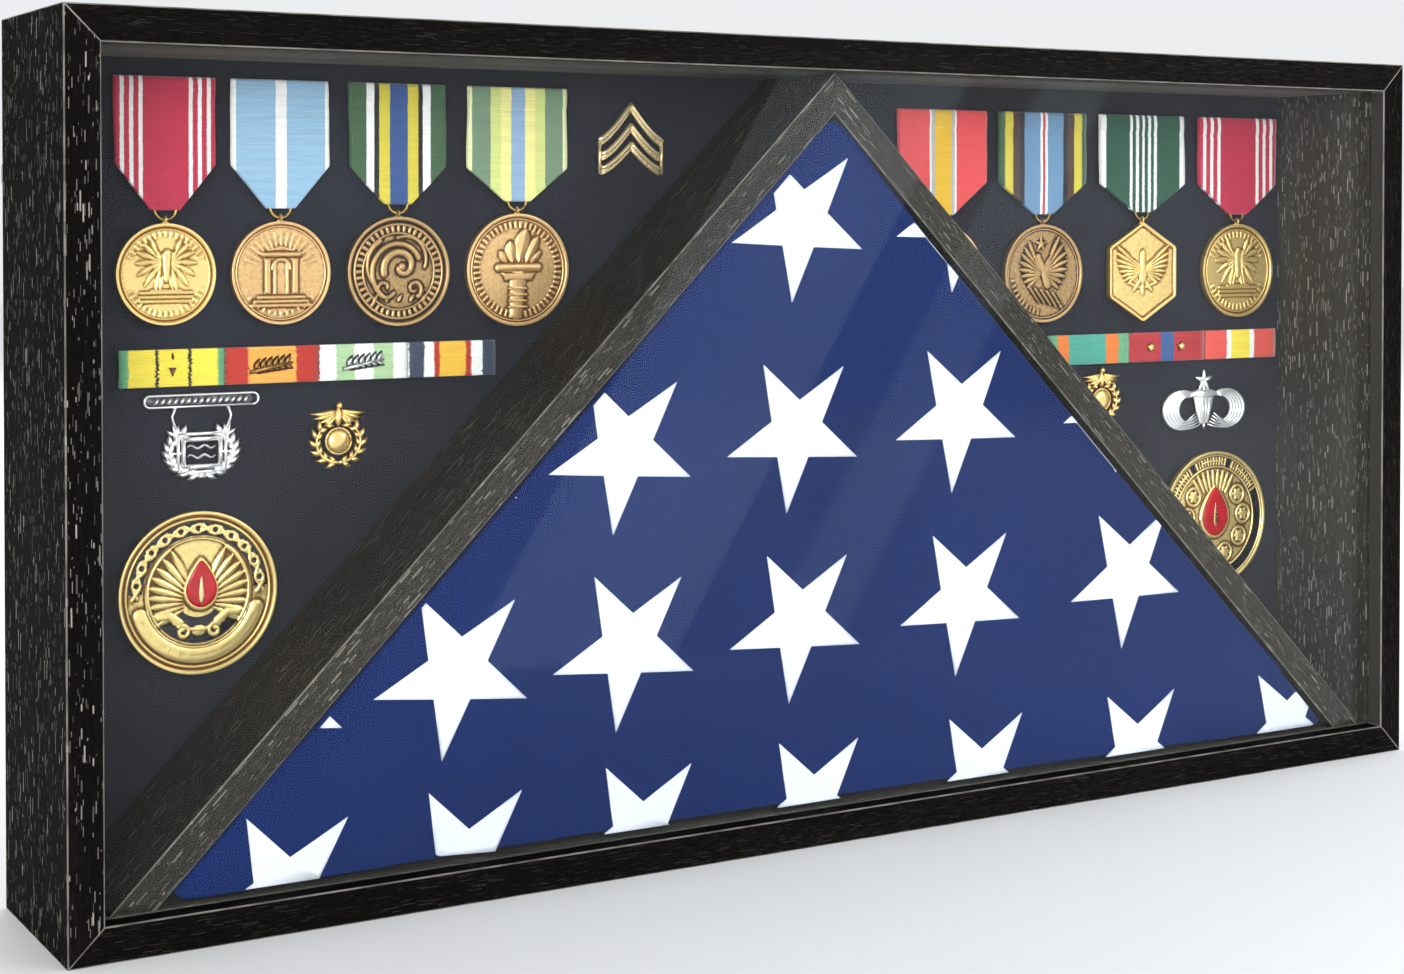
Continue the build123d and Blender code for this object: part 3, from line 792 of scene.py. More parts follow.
def sewn_star(flat, triangles, outer, edge, surface, front):
    """A star laid on the flag, slightly proud, with a skirt all round: its points and faces."""
    used = sorted({index for triangle in triangles for index in triangle})
    number = {old: new for new, old in enumerate(used)}
    points = []
    for index in used:
        x, z = flat[index]
        hit = surface.ray_cast(Vector((x * MM, FRONT, z * MM)), Vector((0, 1, 0)), 0.1)[0]
        if hit is None:
            hit = surface.find_nearest(Vector((x * MM, front, z * MM)))[0]
        proud = 0.3 + 0.22 * max(0.0, 1 - abs(edge_distance((x, z), outer) - 0.8) / 1.1)
        proud += 0.6 * max(0.0, 1 - edge_distance((x, z), edge) / 6)
        points.append(Vector((x * MM, hit.y - proud * MM, z * MM)))
    faces = [tuple(number[index] for index in triangle) for triangle in triangles]
    sides = dict.fromkeys(side for face in faces for side in sides_of(face))
    skirt = {}
    for a, b in sides:
        if (b, a) in sides:
            continue
        for index in (a, b):
            if index not in skirt:
                skirt[index] = len(points)
                points.append(points[index] + Vector((0, STAR_SKIRT, 0)))
        faces.append((b, a, skirt[a], skirt[b]))
    return points, faces


def make_flag():
    """The folded flag: navy cotton with appliqued white stars."""
    low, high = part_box("folded_flag")
    apex = high.z + FLAG_EDGE_RADIUS * (math.sqrt(2) - 1) - FLAG_SIDE_INSET * math.sqrt(2)
    foot = low.z + FLAG_SIDE_INSET
    outline = rounded_triangle(triangle_over(foot, apex), FLAG_EDGE_RADIUS)
    mesh = flag_body(outline, low.y + FLAG_FRONT_INSET, high.y - FLAG_SIDE_INSET)
    # From here on, the foot and the apex of the compartment, which the flag is eased out to
    foot -= FLAG_SIDE_INSET - FLAG_ROOM
    apex += (FLAG_SIDE_INSET - FLAG_ROOM) * math.sqrt(2)
    fill_compartment(mesh, low, high, triangle_over(foot, apex))
    points = []
    for vertex in mesh.vertices:
        point = vertex.co.copy()
        ripple = noise.noise(point * 14) * 0.4 + noise.noise(point * 40) * 0.15
        ripple += 0.3 * noise.noise(Vector((point.x * 9 + point.z * 9, point.z * 2 - point.x * 2, 3.1)))
        point.y = max(point.y + ripple * MM, low.y + FLAG_ROOM)
        points.append(point)
    faces = [tuple(polygon.vertices) for polygon in mesh.polygons]
    surface = BVHTree.FromPolygons(points, faces)
    shell = Shell()
    shell.add(points, faces, 0.0)

    edge = rounded_triangle(triangle_over(foot + 1.4 * MM, apex - 2 * MM), FLAG_EDGE_RADIUS)
    edge = [(x / MM, z / MM) for x, z in edge]
    if sum(a[0] * b[1] - b[0] * a[1] for a, b in sides_of(edge)) < 0:
        edge.reverse()
    border_radius = STAR_RADIUS - STAR_BORDER / math.cos(math.radians(72))
    for height, climb, turned, places in STAR_ROWS:
        for across in places:
            up = height + climb * across
            outer, border = (star_outline(across, up, radius, turned + STAR_SKEW * across, lean=CLOTH_LEAN)
                             for radius in (STAR_RADIUS, border_radius))
            outer = clipped(outer, edge)
            if len(outer) < 3:
                continue
            flat, triangles = star_mesh(outer, border, (across, up))
            shell.add(*sewn_star(flat, triangles, outer, edge, surface, low.y), 0.0, 1)

    navy = cloth("flag_navy_cotton", srgb(3, 27, 74), srgb(5, 35, 92), 0.55 * MM, 0.06)
    white = cloth("flag_white_cotton", srgb(204, 208, 218), srgb(222, 225, 233), 0.5 * MM, 0.05)
    flag = add_piece("flag", shell.points, shell.faces, (navy, white), "root", "folded_flag",
                     shell.marks)


# ---------------------------------------------------------------- cloth on the board

def make_backing_cloth():
    """The dark cloth stretched over the foam board."""
    low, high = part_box("backing_cloth")
    columns, rows = 124, 62
    points = []
    middle = (low.y + high.y) / 2
    for row in range(rows + 1):
        for column in range(columns + 1):
            x = low.x + (high.x - low.x) * column / columns
            z = low.z + (high.z - low.z) * row / rows
            lift = 0.2 * noise.noise(Vector((x * 22, 0, z * 22)))
            lift += 0.06 * noise.noise(Vector((x * 70, 5, z * 70)))
            points.append((x, middle + lift * MM, z))
    material = felt("board_cloth", srgb(22, 24, 31), srgb(37, 39, 49))
    sheet = add_piece("board_cloth", points, grid_faces(rows, columns), (material,), "back_assembly",
                      "backing_cloth")


CRIMSON, WHITE = srgb(186, 36, 68), srgb(236, 234, 232)
LIGHT_BLUE, GREEN = srgb(142, 178, 206), srgb(60, 92, 62)
YELLOW, BLACK, BLUE = srgb(206, 190, 62), srgb(24, 24, 30), srgb(48, 80, 136)
CREAM, SAGE, LIME = srgb(226, 228, 178), srgb(112, 138, 112), srgb(208, 214, 132)
PALE_YELLOW, SKY = srgb(234, 226, 146), srgb(140, 168, 200)
CORAL, SILVER_GREY = srgb(222, 72, 76), srgb(178, 176, 172)
BROWN, STEEL_BLUE, RED = srgb(74, 48, 36), srgb(100, 138, 172), srgb(196, 44, 60)
DARK_GREEN, TEAL = srgb(26, 78, 58), srgb(70, 156, 140)
AMBER = srgb(226, 178, 40)
ORANGE = srgb(222, 118, 44)


def mirrored(half, middle):
    """Stripes that run from the left edge to the middle one, and back again on the right."""
    return (*half, middle, *reversed(half))


RIBBON_STRIPES = {
    "crimson": mirrored(((0.055, CRIMSON), (0.04, WHITE), (0.05, CRIMSON), (0.04, WHITE), (0.05, CRIMSON),
                         (0.04, WHITE)), (0.45, CRIMSON)),
    "light_blue": mirrored(((0.05, WHITE), (0.395, LIGHT_BLUE)), (0.11, WHITE)),
    "green": mirrored(((0.17, GREEN), (0.08, WHITE), (0.05, BLACK), (0.11, YELLOW)), (0.18, BLUE)),
    "sage": mirrored(((0.05, CREAM), (0.18, SAGE), (0.1, LIME), (0.1, PALE_YELLOW)), (0.14, SKY)),
    "coral": mirrored(((0.35, CORAL), (0.02, WHITE), (0.04, SILVER_GREY)), (0.18, AMBER)),
    "brown_blue": ((0.06, GREEN), (0.09, YELLOW), (0.08, BROWN), (0.05, BLACK), (0.18, STEEL_BLUE),
                   (0.025, WHITE), (0.03, RED), (0.025, WHITE), (0.18, STEEL_BLUE), (0.05, BLACK),
                   (0.08, BROWN), (0.09, YELLOW), (0.06, GREEN)),
    "dark_green": mirrored(((0.07, WHITE), (0.27, DARK_GREEN), (0.035, WHITE), (0.038, DARK_GREEN),
                            (0.035, WHITE), (0.037, DARK_GREEN)), (0.03, WHITE)),
}

# Each medal: its ribbon's stripes, its metal and its design
MEDALS = {
    1: ("crimson", "bright_gold", "watch"),
    2: ("light_blue", "bronze", "gate"),
    3: ("green", "antique_bronze", "swirl"),
    4: ("sage", "bronze", "torch"),
    5: ("coral", "bronze", "shield"),
    6: ("brown_blue", "antique_bronze", "bird"),
    7: ("dark_green", "bright_gold", "wings"),
    8: ("crimson", "bright_gold", "watch"),
}
RIBBON_DROP = 33 * MM
RIBBON_WEAVE = 0.3 * MM
BROOCH_CREASE, BROOCH_BULGE = 9 * MM, 5 * MM


def bell(distance, width):
    """A bump: 1 at no distance, and falling away over a width."""
    return math.exp(-(distance / width) ** 2)


def thicken(obj):
    """Gives a ribbon the thickness of its weave."""
    solid = obj.modifiers.new("thickness", "SOLIDIFY")
    solid.thickness = RIBBON_WEAVE
    solid.offset = 0


def make_ribbon(number, stripes):
    """A ribbon: a band that hangs from its brooch, passes through the ring and goes back up."""
    low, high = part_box(f"medal_{number}_ribbon")
    middle, half_wide = (low.x + high.x) / 2, (high.x - low.x) / 2
    tail_half = 6 * MM
    shoulder = high.z - RIBBON_DROP
    fold = 0.55 * MM
    centre_y = (low.y + high.y) / 2
    across_steps, along_steps, loop_steps = 30, 56, 6

    def half_at(z):
        if z >= shoulder:
            return half_wide
        return tail_half + (half_wide - tail_half) * (z - low.z) / (shoulder - low.z)

    path = []
    for step in range(along_steps + 1):
        path.append((high.z + (low.z + fold - high.z) * step / along_steps, -1.0))
    for step in range(1, loop_steps):
        turn = math.pi * step / loop_steps
        path.append((low.z + fold - fold * math.sin(turn), -math.cos(turn)))
    for step in range(along_steps + 1):
        path.append((low.z + fold + (high.z - low.z - fold) * step / along_steps, 1.0))

    points = []
    for z, layer in path:
        half = half_at(z)
        half -= 0.5 * MM * (0.5 + noise.noise(Vector((number * 5.3, 0, z * 55))))
        sway = 0.55 * MM * noise.noise(Vector((number * 2.9, 4, z * 38)))
        down = high.z - z
        slope = max(0.0, min(1.0, (shoulder - z) / (8 * MM)))
        for step in range(across_steps + 1):
            share = 2 * step / across_steps - 1
            x = middle + share * half + sway
            proud = 0.62 + 0.2 * (1 - share * share)
            proud += 0.3 * slope * bell((1 - abs(share)) * half, 1.6 * MM)
            proud -= 0.32 * bell(down - BROOCH_CREASE, 0.8 * MM)
            proud += 0.28 * bell(down - BROOCH_BULGE, 3 * MM)
            proud -= 0.55 * bell(down, 0.7 * MM)
            proud += 0.22 * noise.noise(Vector((x * 45, number * 3.7, z * 60)))
            proud += 0.12 * math.sin(share * 5 + number) * slope
            y = centre_y + layer * (proud if layer < 0 else 0.5) * MM
            points.append((x, y, z))
    faces = turned_over(grid_faces(len(path) - 1, across_steps))
    material = striped(f"ribbon_{number}_weave", low.x, high.x - low.x, RIBBON_STRIPES[stripes])
    ribbon = add_piece(f"medal_{number}_band", points, faces, (material,), "back_assembly",
                       f"medal_{number}_ribbon")
    thicken(ribbon)


# ---------------------------------------------------------------- struck medals and coins
# The numbers in a drawing are its places, widths and heights. A struck disc is drawn with a
# radius of 1, and its heights are millimetres above its field.

RELIEF_DEPTH = 0.95
DISC_BEVEL, DISC_HOLLOW = 0.22, 0.3


def spiral(centre, start_radius, end_radius, start, end, steps=30):
    """Points along a spiral; angles in degrees, anticlockwise from the right."""
    turn = np.radians(np.linspace(start, end, steps))
    reach = np.linspace(start_radius, end_radius, steps)
    return np.stack([centre[0] + reach * np.cos(turn), centre[1] + reach * np.sin(turn)], 1)


def arc(centre, radius, start, end, steps=14):
    """Points along an arc."""
    return spiral(centre, radius, radius, start, end, steps)


def oval(centre, across, up, angle):
    """The point of an oval that lies in a direction, in degrees."""
    turn = math.radians(angle)
    return (centre[0] + across * math.cos(turn), centre[1] + up * math.sin(turn))


def heading(point, angle, length):
    """The point a length away in a direction, in degrees."""
    return oval(point, length, length, angle)


def on_side(angle, side):
    """An angle as it is on the right (side 1), or mirrored on the left (side -1)."""
    return angle if side > 0 else 180 - angle


class Shell:
    """Points, faces, patina and material numbers, gathered for one mesh."""

    def __init__(self):
        self.points, self.faces, self.patina, self.marks = [], [], [], []

    def add(self, points, faces, patina, mark=0):
        """Adds a shape; its patina is one share for all its points, or a list with a share each."""
        offset = len(self.points)
        self.points += points
        self.faces += [tuple(offset + index for index in face) for face in faces]
        self.patina += patina if isinstance(patina, list) else [patina] * len(points)
        self.marks += [mark] * len(faces)


class Relief:
    """Heights over a disc of points. Shapes are drawn on a disc whose radius is 1."""

    def __init__(self, rings, spokes, outline=None):
        share = np.linspace(0, 1, rings + 1)[1:]
        turn = np.arange(spokes) * 2 * math.pi / spokes
        edge = np.ones(spokes) if outline is None else outline(turn)
        self.edge, self.turn = edge, turn
        self.share = np.repeat(share[:, None], spokes, 1)
        self.x = np.append(0.0, share[:, None] * edge * np.cos(turn))
        self.z = np.append(0.0, share[:, None] * edge * np.sin(turn))
        self.rings, self.spokes = rings, spokes
        self.height = np.zeros_like(self.x)

    def raise_to(self, height, shape):
        """Lifts the surface to a height where the shape, from 0 to 1, is the higher."""
        self.height = np.maximum(self.height, height * shape)

    def sink(self, depth, shape):
        """Lowers the surface by a depth where the shape is 1."""
        self.height = self.height - depth * shape

    def near(self, points):
        """The distance to a path, and how far along it the nearest point is, from 0 to 1."""
        best = np.full_like(self.x, 1e9)
        along = np.zeros_like(self.x)
        count = len(points) - 1
        for index in range(count):
            ax, az = points[index]
            dx, dz = points[index + 1][0] - ax, points[index + 1][1] - az
            share = ((self.x - ax) * dx + (self.z - az) * dz) / max(dx * dx + dz * dz, 1e-12)
            share = np.clip(share, 0, 1)
            gap = np.hypot(self.x - ax - dx * share, self.z - az - dz * share)
            closer = gap < best
            best = np.where(closer, gap, best)
            along = np.where(closer, (index + share) / count, along)
        return best, along

    def stroke(self, height, points, start, end=None):
        """A rounded ridge along a path, from one half width to another."""
        gap, along = self.near(points)
        half = start + ((start if end is None else end) - start) * along
        self.raise_to(height, np.sqrt(np.clip(1 - (gap / half) ** 2, 0, 1)))

    def leaf(self, height, root, tip, half, plump=0.8):
        """A pointed leaf or feather with a ridge down its middle."""
        gap, along = self.near([root, tip])
        wide = half * np.clip(np.sin(math.pi * along ** plump), 0, 1) ** 0.7 + 1e-6
        self.raise_to(height, np.clip(1 - gap / wide, 0, 1) ** 0.6)

    def patch(self, height, corners, bevel):
        """A flat-topped shape with bevelled sides."""
        gap, _ = self.near([*corners, corners[0]])
        found = np.zeros(self.x.shape, bool)
        for (ax, az), (bx, bz) in zip(corners, [*corners[1:], corners[0]]):
            if az == bz:
                continue
            crosses = (az > self.z) != (bz > self.z)
            found ^= crosses & (self.x < (bx - ax) * (self.z - az) / (bz - az) + ax)
        self.raise_to(height, np.where(found, np.clip(gap / bevel, 0, 1), 0))

    def dome(self, height, centre, across, up=None):
        """A domed oval."""
        up = across if up is None else up
        reach = ((self.x - centre[0]) / across) ** 2 + ((self.z - centre[1]) / up) ** 2
        self.raise_to(height, np.sqrt(np.clip(1 - reach, 0, 1)))

    def hoop(self, height, radius, half):
        """A raised circle."""
        gap = np.abs(np.hypot(self.x, self.z) - radius)
        self.raise_to(height, np.sqrt(np.clip(1 - (gap / half) ** 2, 0, 1)))

    def dashes(self, height, radius, length, half, start, end, count):
        """A row of short bars along an arc, each pointing at the middle."""
        for angle in np.linspace(start, end, count):
            inner = heading((0, 0), angle, radius - length / 2)
            outer = heading((0, 0), angle, radius + length / 2)
            self.stroke(height, [inner, outer], half)

    def rim(self, height, width):
        """A raised edge all round."""
        gap = np.append(1.0, ((1 - self.share) * self.edge).ravel())
        self.raise_to(height, np.clip((width - gap) / (0.35 * width), 0, 1) ** 0.7)

    def grain(self, height, scale):
        """Slight unevenness of the struck field."""
        rough = [noise.noise(Vector((x * scale, z * scale, 0.3))) for x, z in zip(self.x, self.z)]
        self.height = self.height + height * np.array(rough)

    def hollows(self, field):
        """How deep each point lies below what is round it, from 0 to 1; the open field's own share."""
        grid = self.height[1:].reshape(self.rings, self.spokes)
        mean = grid.copy()
        for _ in range(14):
            outer = np.vstack([mean[1:], mean[-1:]])
            inner = np.vstack([mean[:1], mean[:-1]])
            mean = (outer + inner + np.roll(mean, 1, 1) + np.roll(mean, -1, 1)) / 4
        depth = np.clip((mean - grid) * 4.4 + field * (1 - 1.3 * grid), 0, 1)
        return np.append(depth[0].mean(), depth.ravel())


def struck_piece(name, relief, centre, radius, front, back, metal, body, node, eyelet=None,
                 enamels=(), field_patina=0.2):
    """Closes a relief into a disc with an edge and a back, and adds its eyelet and enamel."""
    cx, cz = centre
    rings, spokes = relief.rings, relief.spokes
    scale = radius * MM

    def on_face(x, z, height):
        return (cx + scale * x, at_depth(front + RELIEF_DEPTH - height), cz + scale * z)

    points = [on_face(*place) for place in zip(relief.x, relief.z, relief.height)]
    patina = list(relief.hollows(field_patina))
    edges = ((0, front + DISC_BEVEL + 0.1), (0, back - DISC_BEVEL), (DISC_BEVEL, back),
             (1.6 + DISC_BEVEL, back), (2 + DISC_BEVEL, back - DISC_HOLLOW),
             (radius / 2 + DISC_BEVEL, back - DISC_HOLLOW))
    for inwards, depth in edges:
        reach = scale * (1 - inwards / radius) * relief.edge
        points += [(cx + x, at_depth(depth), cz + z)
                   for x, z in zip(reach * np.cos(relief.turn), reach * np.sin(relief.turn))]
    middle = len(points)
    points.append((cx, at_depth(back - DISC_HOLLOW), cz))
    patina += [0.25] * (spokes * len(edges)) + [0.3]
    faces = fan(0, 1, spokes) + ring_faces(1, spokes, rings + len(edges))
    faces += turned_over(fan(middle, middle - spokes, spokes))
    shell = Shell()
    shell.add(points, faces, patina)

    if eyelet is not None:
        middle_y = at_depth((front + back) / 2)
        shell.add(*torus((cx, middle_y, eyelet), 1.2 * MM, 0.45 * MM), 0.15)
        top = cz + scale * max(relief.edge * np.sin(relief.turn))
        shell.add(*ball((cx, middle_y, top), 1.5 * MM, 0.75 * MM), 0.2)
    materials = [metal]
    for material, outline, base, crown in enamels:
        materials.append(material)
        drop, drop_faces = domed_patch(outline, base, crown)
        shell.add([on_face(*place) for place in drop], drop_faces, 0.0, len(materials) - 1)
    return add_piece(name, shell.points, shell.faces, materials, body, node, shell.marks,
                     shell.patina)


def torus(centre, radius, wire, steps=20, round_steps=8):
    """A ring that stands in the plane across X."""
    points = []
    for step in range(steps):
        turn = 2 * math.pi * step / steps
        for part in range(round_steps):
            angle = 2 * math.pi * part / round_steps
            reach = radius + wire * math.cos(angle)
            points.append((centre[0] + wire * math.sin(angle), centre[1] + reach * math.cos(turn),
                           centre[2] + reach * math.sin(turn)))
    faces = ring_faces(0, round_steps, steps + 1)
    return points, [tuple(index % len(points) for index in face) for face in faces]


def ball(centre, across, up, steps=14, rows=8):
    """A squashed ball, wide across and low."""
    points = [(centre[0], centre[1], centre[2] + up)]
    for row in range(1, rows):
        tilt = math.pi * row / rows
        for step in range(steps):
            turn = 2 * math.pi * step / steps
            points.append((centre[0] + across * math.sin(tilt) * math.cos(turn),
                           centre[1] + 0.9 * up * math.sin(tilt) * math.sin(turn),
                           centre[2] + up * math.cos(tilt)))
    points.append((centre[0], centre[1], centre[2] - up))
    last = len(points) - 1
    faces = turned_over(fan(0, 1, steps) + ring_faces(1, steps, rows - 1))
    return points, faces + fan(last, last - steps, steps)


def domed_patch(outline, base, crown, steps=6):
    """A domed shape over an outline round its own middle: points (x, z, height) and faces."""
    outline = np.array(outline)
    middle = outline.mean(0)
    count = len(outline)
    points = [(*middle, base + crown)]
    for step in range(1, steps + 1):
        share = step / steps
        lift = base + crown * math.sqrt(max(0.0, 1 - share ** 2.6))
        points += [(*(middle + (corner - middle) * share), lift) for corner in outline]
    points += [(*corner, base - 0.4) for corner in outline]
    return points, fan(0, 1, count) + ring_faces(1, count, steps + 1)


def wing(relief, root, side, count, first, last, long, short, half, height):
    """A spread wing: a fan of feathers, with a row of coverts over their roots."""
    for index in range(count):
        share = index / (count - 1)
        angle = on_side(first + (last - first) * share, side)
        length = long + (short - long) * share
        start = (root[0] + side * 0.05 * (1 - share), root[1] - 0.12 * share)
        relief.leaf(height * (0.75 + 0.25 * (1 - share)), start, heading(start, angle, length), half, 1.3)
    for index in range(count - 1):
        share = (index + 0.5) / (count - 1)
        angle = on_side(first + (last - first) * share, side)
        start = (root[0], root[1] - 0.1 * share)
        relief.leaf(height * 1.15, start, heading(start, angle, 0.5 * long), half * 0.9)


def spray(relief, centre, radius, start, end, count, size, height):
    """A curved branch with pairs of leaves."""
    relief.stroke(height * 0.6, arc(centre, radius, start, end), 0.018)
    way = 1 if end > start else -1
    for angle in np.linspace(start, end, count):
        root = heading(centre, angle, radius)
        for side in (-1, 1):
            tip = heading(root, angle + way * (90 - side * 38), size)
            relief.leaf(height, root, tip, size * 0.26)


def design_watch(relief):
    """A bird with raised wings over a sword and a closed book."""
    relief.hoop(0.35, 0.88, 0.015)
    relief.dashes(0.4, 0.78, 0.1, 0.022, 25, 155, 17)
    relief.dashes(0.4, 0.78, 0.1, 0.022, 205, 335, 17)
    for side in (-1, 1):
        wing(relief, (side * 0.1, 0.32), side, 7, 68, -78, 0.42, 0.62, 0.06, 0.75)
        relief.leaf(0.6, (side * 0.06, -0.02), (side * 0.14, -0.34), 0.06)
    relief.stroke(0.95, [(0, 0.36), (0, -0.1)], 0.1, 0.07)
    relief.dome(0.95, (0.02, 0.43), 0.075, 0.07)
    relief.leaf(0.8, (0.05, 0.43), (0.17, 0.4), 0.03)
    for row in range(3):
        relief.stroke(0.55, [(-0.52, -0.36 - 0.085 * row), (0.52, -0.36 - 0.085 * row)], 0.034)
    relief.stroke(0.75, [(-0.3, -0.32), (0.3, -0.32)], 0.03)


def design_gate(relief):
    """A plain arch on steps, with rays behind it."""
    relief.hoop(0.3, 0.9, 0.012)
    for angle in np.linspace(20, 160, 15):
        relief.stroke(0.2, [heading((0, 0), angle, 0.5), heading((0, 0), angle, 0.78)], 0.016)
    relief.patch(0.75, [(-0.4, 0.3), (0.4, 0.3), (0.46, 0.42), (-0.46, 0.42)], 0.04)
    relief.patch(0.6, [(-0.3, 0.42), (0.3, 0.42), (0.0, 0.56)], 0.05)
    for side in (-1, 1):
        relief.patch(0.8, [(side * 0.2, -0.42), (side * 0.36, -0.42), (side * 0.36, 0.3),
                           (side * 0.2, 0.3)], 0.04)
        relief.patch(0.45, [(side * 0.08, -0.42), (side * 0.17, -0.42), (side * 0.17, 0.22),
                            (side * 0.08, 0.22)], 0.03)
    relief.stroke(0.6, arc((0, 0.08), 0.18, 0, 180), 0.035)
    for row in range(3):
        wide = 0.46 + 0.07 * row
        relief.stroke(0.6, [(-wide, -0.47 - 0.08 * row), (wide, -0.47 - 0.08 * row)], 0.034)
    relief.dashes(0.35, 0.79, 0.06, 0.02, 218, 322, 13)


def design_swirl(relief):
    """Nested curls inside a border of dashes."""
    relief.hoop(0.4, 0.86, 0.02)
    relief.hoop(0.4, 0.7, 0.02)
    relief.dashes(0.4, 0.78, 0.07, 0.025, 0, 352, 44)
    relief.stroke(0.95, spiral((0.05, 0.08), 0.06, 0.36, 200, 560), 0.05, 0.075)
    relief.stroke(0.85, spiral((0.03, 0.03), 0.42, 0.6, 30, 235), 0.05, 0.05)
    relief.stroke(0.8, spiral((-0.28, -0.3), 0.05, 0.2, 0, 330), 0.035, 0.045)
    relief.stroke(0.8, spiral((0.3, -0.32), 0.16, 0.04, -60, 300), 0.045, 0.03)
    relief.stroke(0.7, arc((-0.1, 0.1), 0.52, 120, 215), 0.04, 0.03)
    relief.stroke(0.7, arc((0.12, 0.22), 0.42, -20, 110), 0.035, 0.03)
    relief.dome(0.95, (0.06, 0.08), 0.075)
    for index in range(5):
        relief.leaf(0.6, (-0.5 + 0.24 * index, -0.56), (-0.42 + 0.24 * index, -0.42), 0.04)


def design_torch(relief):
    """A torch with a tall flame, inside a border of dashes."""
    relief.hoop(0.35, 0.9, 0.014)
    relief.dashes(0.4, 0.8, 0.09, 0.022, 65, 295, 34)
    relief.dashes(0.4, 0.8, 0.09, 0.022, -65, 65, 20)
    relief.stroke(0.9, [(-0.04, -0.76), (0.0, -0.16)], 0.13, 0.17)
    for row in range(4):
        relief.stroke(1.0, [(-0.17, -0.66 + 0.11 * row), (0.16, -0.66 + 0.11 * row)], 0.026)
    relief.patch(0.95, [(-0.26, -0.2), (0.28, -0.2), (0.36, -0.04), (-0.34, -0.04)], 0.04)
    relief.stroke(1.0, [(-0.38, 0.04), (0.4, 0.04)], 0.075)
    for root, tip, half in (((0, 0.12), (0.16, 0.74), 0.16), ((-0.12, 0.12), (-0.16, 0.52), 0.12),
                            ((0.14, 0.12), (0.4, 0.6), 0.11), ((-0.22, 0.12), (-0.36, 0.34), 0.08),
                            ((0.24, 0.12), (0.46, 0.34), 0.07)):
        relief.leaf(0.95, root, tip, half, 1.1)


def design_shield(relief):
    """A shield with three bars, between two laurel sprays."""
    relief.hoop(0.35, 0.88, 0.014)
    relief.patch(0.8, [(-0.28, 0.36), (0.28, 0.36), (0.28, -0.06), (0.16, -0.3), (0, -0.42),
                       (-0.16, -0.3), (-0.28, -0.06)], 0.05)
    for column in (-1, 0, 1):
        relief.stroke(1.0, [(0.16 * column, 0.1), (0.16 * column, -0.2)], 0.03)
    for side in (-1, 1):
        spray(relief, (0, -0.02), 0.6, on_side(-75, side), on_side(60, side), 9, 0.19, 0.7)
    relief.dome(0.8, (0, 0.5), 0.07)


def design_bird(relief):
    """A long-winged bird over slanting bars, with a star above."""
    relief.hoop(0.35, 0.9, 0.014)
    relief.patch(0.8, star_outline(-0.06, 0.6, 0.19, 90, 0.42), 0.05)
    wing(relief, (0.02, 0.12), 1, 8, 62, -40, 0.72, 0.5, 0.055, 0.8)
    wing(relief, (-0.08, 0.1), -1, 8, 66, -38, 0.62, 0.44, 0.055, 0.8)
    relief.stroke(1.0, [(-0.12, 0.3), (-0.02, 0.1), (0.1, -0.22)], 0.075, 0.1)
    relief.dome(0.95, (-0.14, 0.34), 0.085, 0.075)
    relief.leaf(0.85, (-0.17, 0.36), (-0.3, 0.31), 0.035)
    for index in range(5):
        start = (-0.36 + 0.15 * index, -0.28 - 0.03 * index)
        relief.stroke(0.6, [start, heading(start, -52, 0.38)], 0.035, 0.02)
    relief.dashes(0.35, 0.79, 0.08, 0.02, 190, 260, 10)


def design_wings(relief):
    """Wide raised wings over a small shield, on a six-sided plate."""
    for side in (-1, 1):
        wing(relief, (side * 0.06, 0.12), side, 8, 36, -34, 0.7, 0.42, 0.05, 0.85)
        relief.leaf(0.7, (side * 0.05, -0.14), (side * 0.26, -0.4), 0.06)
        relief.stroke(0.5, [(side * 0.1, -0.3), (side * 0.34, -0.22)], 0.03)
    relief.stroke(1.0, [(0, 0.3), (0, -0.14)], 0.08, 0.1)
    relief.dome(1.0, (0, 0.37), 0.075, 0.08)
    relief.patch(1.0, [(-0.11, 0.08), (0.11, 0.08), (0.11, -0.1), (0, -0.22), (-0.11, -0.1)], 0.04)
    relief.leaf(0.6, (0, -0.22), (0, -0.48), 0.07)


DESIGNS = {"watch": design_watch, "gate": design_gate, "swirl": design_swirl, "torch": design_torch,
           "shield": design_shield, "bird": design_bird, "wings": design_wings}


def hexagon_outline(turn):
    """How far a six-sided plate with a corner at the top reaches, by direction."""
    sector = math.pi / 3
    offset = (turn - math.pi / 2 + sector / 2) % sector - sector / 2
    flat = math.cos(sector / 2)
    return np.minimum(flat / np.cos(np.abs(offset) - sector / 2), 0.985)


FIELD_PATINA = {"bright_gold": 0.04, "bronze": 0.24, "antique_bronze": 0.34}
SIX_SIDED_PATINA = 0.22


def make_pendant(number, metal_name, metal, design):
    """A struck pendant with its eyelet."""
    low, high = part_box(f"medal_{number}_pendant")
    six_sided = design == "wings"
    width = (high.x - low.x) / MM
    radius = width / 2 / (math.cos(math.pi / 6) if six_sided else 1)
    centre = ((low.x + high.x) / 2, low.z + radius * MM)
    relief = Relief(96, 264, hexagon_outline if six_sided else None)
    DESIGNS[design](relief)
    relief.grain(0.05, 9)
    relief.rim(0.85, 0.075)
    front, back = depth_of(low.y), depth_of(high.y)
    patina = SIX_SIDED_PATINA if six_sided else FIELD_PATINA[metal_name]
    struck_piece(f"medal_{number}_disc", relief, centre, radius, front, back, metal,
                 f"medal_{number}_pendant", f"medal_{number}_pendant",
                 eyelet=high.z - 1.65 * MM, field_patina=patina)


